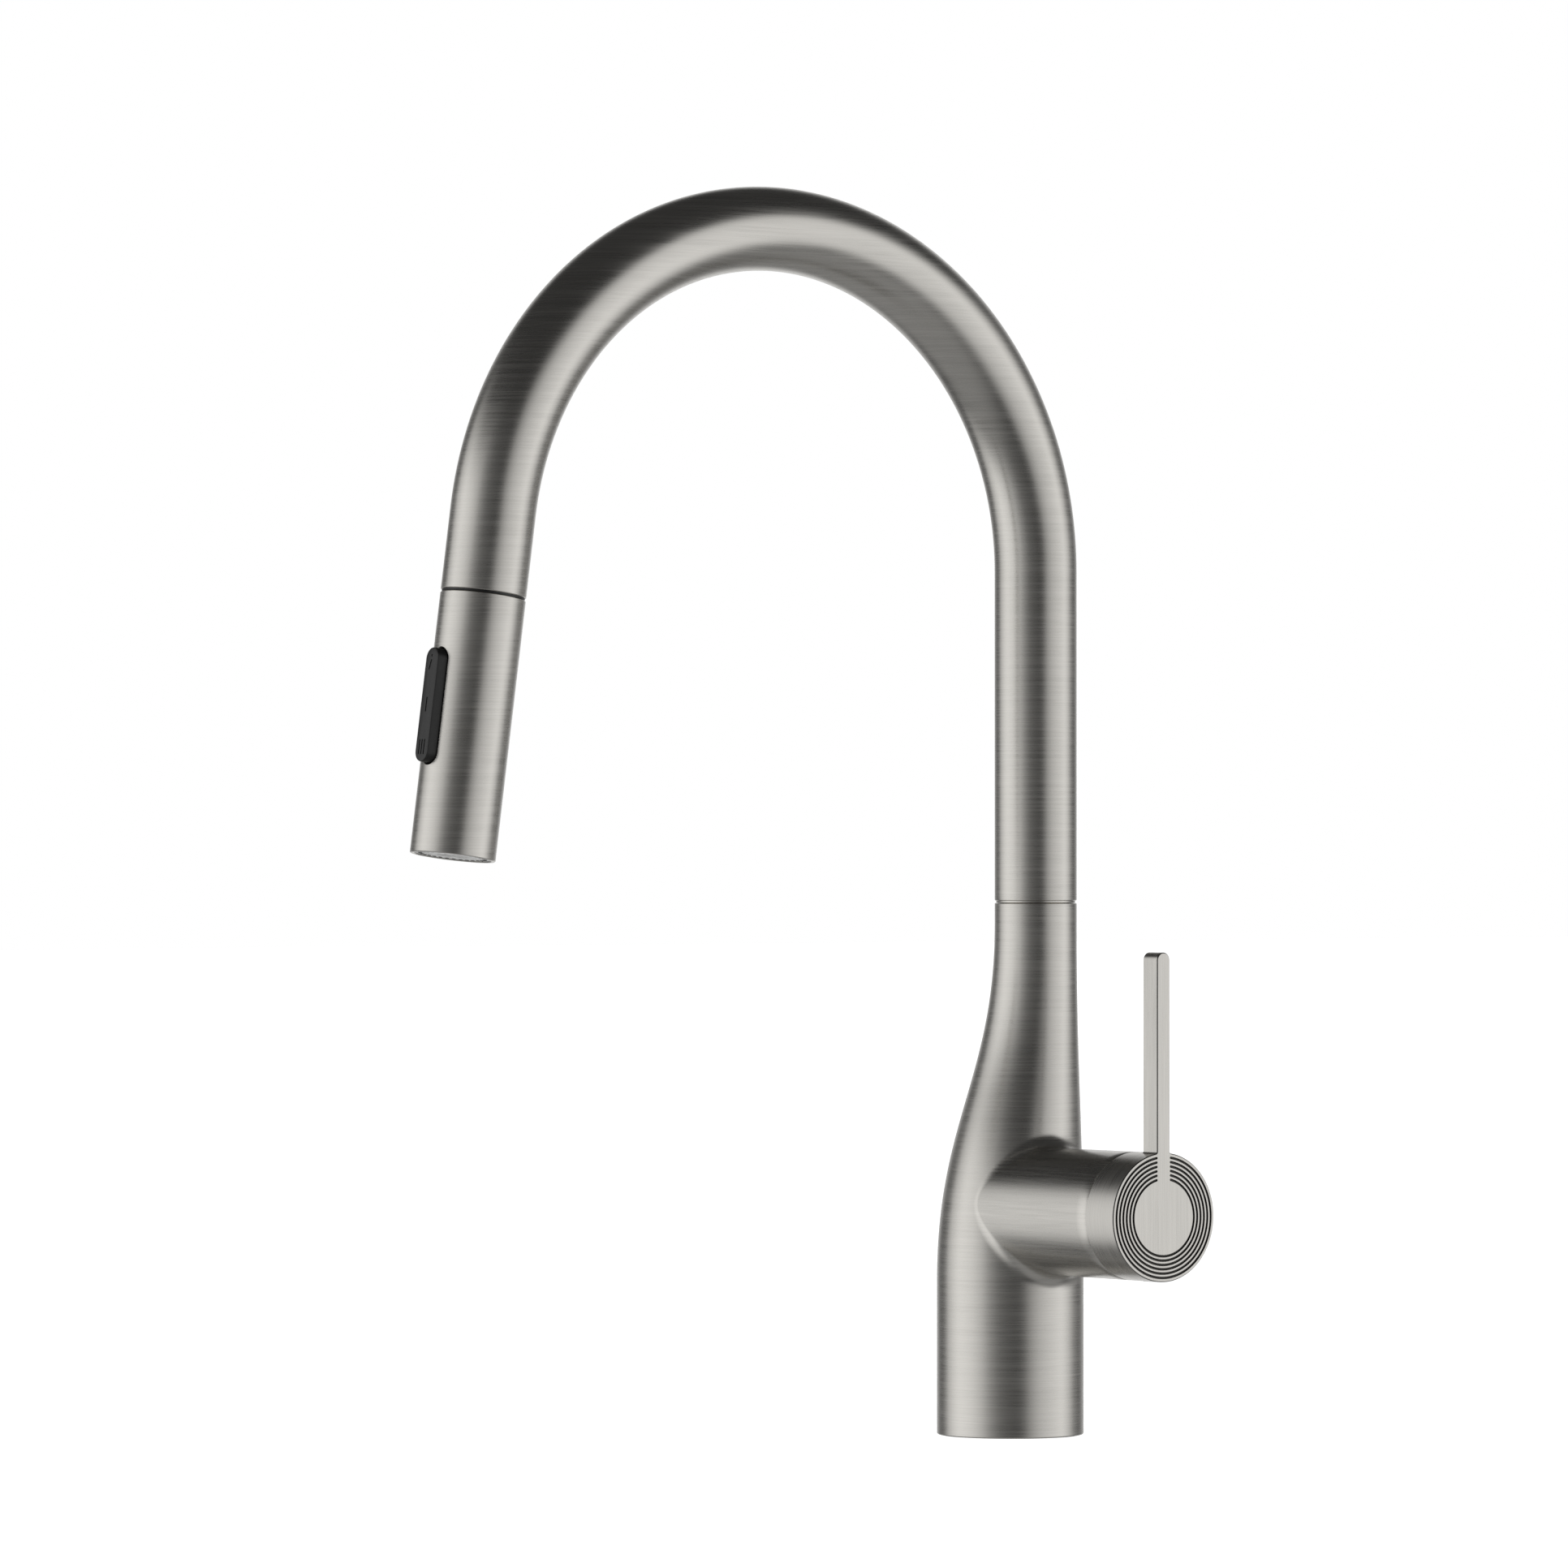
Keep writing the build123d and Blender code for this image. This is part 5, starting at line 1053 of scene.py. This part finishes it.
# %% Grid of the spray shell
SHELL_BORE, BUTTON_AT = 12.6, 66.25
BUTTON_W, BUTTON_L = 7.2, 37.5
WINDOW_R, WINDOW_STRAIGHT, LIP = 3.95, 15.3, 0.2
SHELL_SIDE, SHELL_FROM, SHELL_TO = 42.0, 42.0, 90.5
shell_window_angles = np.radians(np.linspace(-SHELL_SIDE, SHELL_SIDE, 43))
shell_window_runs = np.linspace(SHELL_FROM, SHELL_TO, 61)
shell_window = frame_points(shell_window_angles, shell_window_runs)
shell_back_angles = np.radians(np.linspace(SHELL_SIDE, 360.0 - SHELL_SIDE, 85))
shell_angles = np.concatenate([shell_window_angles, shell_back_angles[1:]])
runs_above = np.linspace(HEAD_START + RIM, SHELL_FROM, 7)
runs_below = np.linspace(SHELL_TO, HEAD_END - RIM, 13)
shell_runs = np.concatenate([runs_above, shell_window_runs[1:], runs_below[1:]])
print("shell grid", len(shell_runs), "by", len(shell_angles))


def shell_point(angle, run, radius):
    """A point at an angle round the spray axis from the button's side, and a run along the axis."""
    out = np.cos(angle)[..., None] * SPRAY_OUT + np.sin(angle)[..., None] * X_AXIS
    return ARC_END + np.asarray(run)[..., None] * SPRAY_DIR + np.asarray(radius)[..., None] * out


def window_edge(radius):
    """The window's edge, one point for each point of the rectangle: a circle's radius away from
    the nearest point of the window's straight middle line."""
    x, run = TUBE_R * np.sin(shell_window[:, 0]), shell_window[:, 1] - BUTTON_AT
    straight = np.clip(run, -WINDOW_STRAIGHT, WINDOW_STRAIGHT)
    away = np.stack([x, run - straight], axis=-1)
    away = away / np.linalg.norm(away, axis=-1, keepdims=True)
    return np.stack([radius * away[:, 0], BUTTON_AT + straight + radius * away[:, 1]], axis=-1)


def shell_layer(radius, edge_radius):
    """One skin of the tube at a radius, with its window."""
    angle, run = np.meshgrid(shell_angles, shell_runs)
    edge = window_edge(edge_radius)
    edge = np.stack([np.arcsin(edge[:, 0] / radius), edge[:, 1]], axis=-1)
    keep = window_mask(shell_angles, shell_runs, shell_window_angles, shell_window_runs)
    patch = patch_grid(shell_window, edge, lambda a, s: shell_point(a, s, radius), rings=8)
    return [(shell_point(angle, run, radius), keep), patch]


# %% Spray shell


def shell_grids():
    """Outside, inside, the window's wall with its small lip, and a round rim at each end."""
    grids = shell_layer(TUBE_R, WINDOW_R + LIP) + shell_layer(SHELL_BORE, WINDOW_R)
    rows = []
    wall = ((WINDOW_R + LIP, TUBE_R, 0.0), (WINDOW_R, TUBE_R, LIP), (WINDOW_R, SHELL_BORE, 0.0))
    for edge_radius, surface, drop in wall:
        edge = window_edge(edge_radius)
        height = np.sqrt(surface**2 - edge[:, 0] ** 2) - drop
        rows.append(ARC_END + edge[:, :1] * X_AXIS + edge[:, 1:] * SPRAY_DIR + height[:, None] * SPRAY_OUT)
    grids.append(np.stack(rows))
    for start, step in ((HEAD_START, 1.0), (HEAD_END, -1.0)):
        rim = [(start + step * RIM, TUBE_R), (start, TUBE_R - RIM), (start, SHELL_BORE + RIM),
               (start + step * RIM, SHELL_BORE)]
        rings = [shell_point(shell_angles, np.full(len(shell_angles), s), r) for s, r in rim]
        grids.append(np.stack(rings))
    return grids


add_piece("head_skin", shell_grids(), brushed_round, "spray_head", "spray_shell")

# %% [markdown]
# ## The button
# A matte black rocker with half round ends. Its marks are plain strokes sunk 0.2 mm into the
# front, so they show only by their shadows, as moulded marks do.

# %% Marks on the button
BUTTON_FRONT, BUTTON_BACK, BUTTON_ROUND, MARK_DEPTH = 17.0, 12.8, 0.5, 0.2
DOT_AT, DOT_R, LINE_HALF, LINE_REACH = -16.0, 0.45, 0.45, 2.4
WEDGE = ((-1.25, -11.4), (1.25, -11.4), (0.35, -14.7), (-0.35, -14.7))
BAR_HALF, BAR_PITCH, BAR_FROM, BAR_TO = 0.275, 1.4, 11.45, 16.35
button_seat = Seat(ARC_END + BUTTON_AT * SPRAY_DIR, X_AXIS, SPRAY_DIR, SPRAY_OUT)


def bar_loop(u0, u1, v0, v1):
    """The four corners of a stroke."""
    return np.array([[u0, v0], [u1, v0], [u1, v1], [u0, v1]], float)


marks = [disc_loop((0.0, DOT_AT), DOT_R), np.array(WEDGE),
         bar_loop(-LINE_HALF, LINE_HALF, -LINE_REACH, LINE_REACH)]
marks += [bar_loop(at - BAR_HALF, at + BAR_HALF, BAR_FROM, BAR_TO) for at in (-BAR_PITCH, 0.0, BAR_PITCH)]
print(len(marks), "marks")

# %% Button
ROUND_STEP = 0.15


def button_grids():
    """The front with its sunk marks, a rounded edge in two steps, the side and the back."""
    whole, edge = pill_loop(BUTTON_L, BUTTON_W), pill_loop(BUTTON_L, BUTTON_W, inset=BUTTON_ROUND)
    round_over = pill_loop(BUTTON_L, BUTTON_W, inset=ROUND_STEP)
    grids = [flat_face(button_seat, BUTTON_FRONT, edge, marks)]
    grids += cut_loops(button_seat, BUTTON_FRONT, MARK_DEPTH, marks)
    side = [(edge, BUTTON_FRONT), (round_over, BUTTON_FRONT - ROUND_STEP),
            (whole, BUTTON_FRONT - BUTTON_ROUND), (whole, BUTTON_BACK)]
    grids.append(loop_wall(button_seat, side))
    grids.append(flat_face(button_seat, BUTTON_BACK, whole))
    return grids


add_piece("button_skin", button_grids(), black_plastic, "button", "button")

# %% [markdown]
# ## Inner pieces
# The pieces inside keep their CAD shape. Each one takes the finish of its material slot.

# %% Finishes for the inner pieces
finish_of = {
    "brushed_body": brushed_round, "brushed_handle": brushed_upright, "brushed_spout": brushed_round,
    "brushed_head": brushed_round, "brushed_trim": brushed_round,
    "brass": turned_brass, "steel": turned_steel, "magnet": ferrite, "ceramic_disc": ceramic_disc,
    "black_plastic": black_plastic, "grey_plastic": grey_plastic, "white_plastic": white_plastic,
    "seal_rubber": seal_rubber, "nozzle_silicone": nozzle_silicone, "hose_braid": hose_jacket,
}
for node, piece in nodes.items():
    piece.data.materials.clear()
    piece.data.materials.append(finish_of[slot_of[node]])
print(len(nodes), "CAD pieces have their finish")

# %% [markdown]
# ## Camera
# A long lens from the side of the handle, a little above the worktop.

# %% Camera
LENS, SENSOR, FAR_END = 191.55, 36.0, 50.0
CAMERA_PLACE = (2.2514, -1.7390, 0.1989)
HEADING, PITCH = math.radians(53.87), math.radians(0.453)
camera = bpy.data.objects.new("camera", bpy.data.cameras.new("camera"))
bpy.context.scene.collection.objects.link(camera)
camera.data.lens, camera.data.sensor_width = LENS, SENSOR
camera.data.clip_end = FAR_END
camera.location = CAMERA_PLACE
ahead = math.cos(PITCH)
look = Vector((-math.sin(HEADING) * ahead, math.cos(HEADING) * ahead, math.sin(PITCH)))
camera.rotation_euler = look.to_track_quat("-Z", "Y").to_euler()
bpy.context.scene.camera = camera
print("camera stands", round(math.hypot(*CAMERA_PLACE[:2]), 2), "m from the column")

# %% [markdown]
# ## Light
# A product set: two tall soft boxes left and right make the bright stripes on the round metal,
# and the dark room between them makes the dark stripe down the middle. Soft boxes fade towards
# their edges, so here they are painted into the world as one smooth curve: how bright the studio
# is in each direction round the object, counted from the camera, times a fade up and down.

# %% Studio
STUDIO = [  # (degrees round from the camera, brightness); left is negative
    (-180, 0.95), (-162, 0.60), (-146, 0.12), (-128, 0.10), (-112, 0.85), (-90, 1.25), (-68, 1.10),
    (-50, 0.82), (-33, 0.34), (-18, 0.13), (-3, 0.08), (10, 0.03), (20, 0.09), (33, 0.52), (50, 0.80),
    (70, 0.98), (88, 1.22), (104, 0.80), (117, 0.24), (135, 0.10), (152, 0.42), (166, 0.90), (180, 0.95),
]
BRIGHTEST = max(brightness for _, brightness in STUDIO)
FADE_UP, FADE_DOWN = (0.32, 0.60), (-0.70, -0.36)
TABLE_FADE, TABLE_LIGHT, ROOM_LIGHT = (0.45, 0.82), 0.29, 0.045


def make_world():
    """White to the camera. For everything else: the curve at this turn, times the fades up and
    down, plus light off the worktop from below and a little room light."""
    world = bpy.data.worlds.new("studio")
    bpy.context.scene.world = world
    world.use_nodes = True
    tree = world.node_tree
    background = tree.nodes["Background"]
    direction = tree.nodes.new("ShaderNodeTexCoord").outputs["Generated"]
    right = look.cross(Vector((0, 0, 1))).normalized()
    level = Vector((look.x, look.y, 0)).normalized()
    sideways, ahead = dot_with(tree, direction, right), dot_with(tree, direction, level)
    turn = math_node(tree, "ARCTAN2", sideways, math_node(tree, "MULTIPLY", ahead, -1.0))
    turn = math_node(tree, "MULTIPLY_ADD", turn, 0.5 / math.pi, 0.5)
    ramp = tree.nodes.new("ShaderNodeValToRGB")
    ramp.color_ramp.interpolation = "EASE"
    while len(ramp.color_ramp.elements) < len(STUDIO):
        ramp.color_ramp.elements.new(0.5)
    for element, (degrees, brightness) in zip(ramp.color_ramp.elements, STUDIO):
        element.position = (degrees + 180) / 360
        element.color = (brightness / BRIGHTEST,) * 3 + (1.0,)
    tree.links.new(turn, ramp.inputs["Fac"])
    height = dot_with(tree, direction, Z_AXIS)
    fade_up = map_range(tree, height, *FADE_UP, 1.0, 0.0)
    fade_down = map_range(tree, height, *FADE_DOWN, 0.0, 1.0)
    fade = math_node(tree, "MULTIPLY", fade_up, fade_down)
    boxes = math_node(tree, "MULTIPLY", ramp.outputs["Color"], fade)
    depth = math_node(tree, "MULTIPLY", height, -1.0)
    below = map_range(tree, depth, *TABLE_FADE, 0.0, TABLE_LIGHT)
    strength = math_node(tree, "MULTIPLY_ADD", boxes, BRIGHTEST, below)
    strength = math_node(tree, "ADD", strength, ROOM_LIGHT)
    path = tree.nodes.new("ShaderNodeLightPath")
    strength = math_node(tree, "MAXIMUM", strength, path.outputs["Is Camera Ray"])
    background.inputs["Color"].default_value = (1.0, 1.0, 1.0, 1.0)
    tree.links.new(strength, background.inputs["Strength"])


make_world()
print("studio curve with", len(STUDIO), "stops, brightest", BRIGHTEST)

# %% [markdown]
# ## Floor
# The floor glows white by itself, so no horizon and no shadow shows. It is hidden from the
# metal's reflections, which come from the studio alone.

# %% Floor
FLOOR_REACH, FLOOR_WHITE = 12.0, (0.9, 0.9, 0.9, 1.0)


def make_floor():
    """One large square at worktop height."""
    floor = bpy.data.objects.new("floor", bpy.data.meshes.new("floor"))
    reach = FLOOR_REACH
    corners = [(-reach, -reach, 0), (reach, -reach, 0), (reach, reach, 0), (-reach, reach, 0)]
    floor.data.from_pydata(corners, [], [(0, 1, 2, 3)])
    bpy.context.scene.collection.objects.link(floor)
    material = bpy.data.materials.new("floor")
    material.use_nodes = True
    shader = material.node_tree.nodes["Principled BSDF"]
    shader.inputs["Base Color"].default_value = FLOOR_WHITE
    shader.inputs["Roughness"].default_value = 0.9
    shader.inputs["Emission Color"].default_value = (1.0, 1.0, 1.0, 1.0)
    shader.inputs["Emission Strength"].default_value = 1.0
    floor.data.materials.append(material)
    floor.visible_glossy = False
    floor.visible_diffuse = False
    floor.visible_shadow = False


make_floor()
bpy.context.scene.view_settings.view_transform = "Standard"
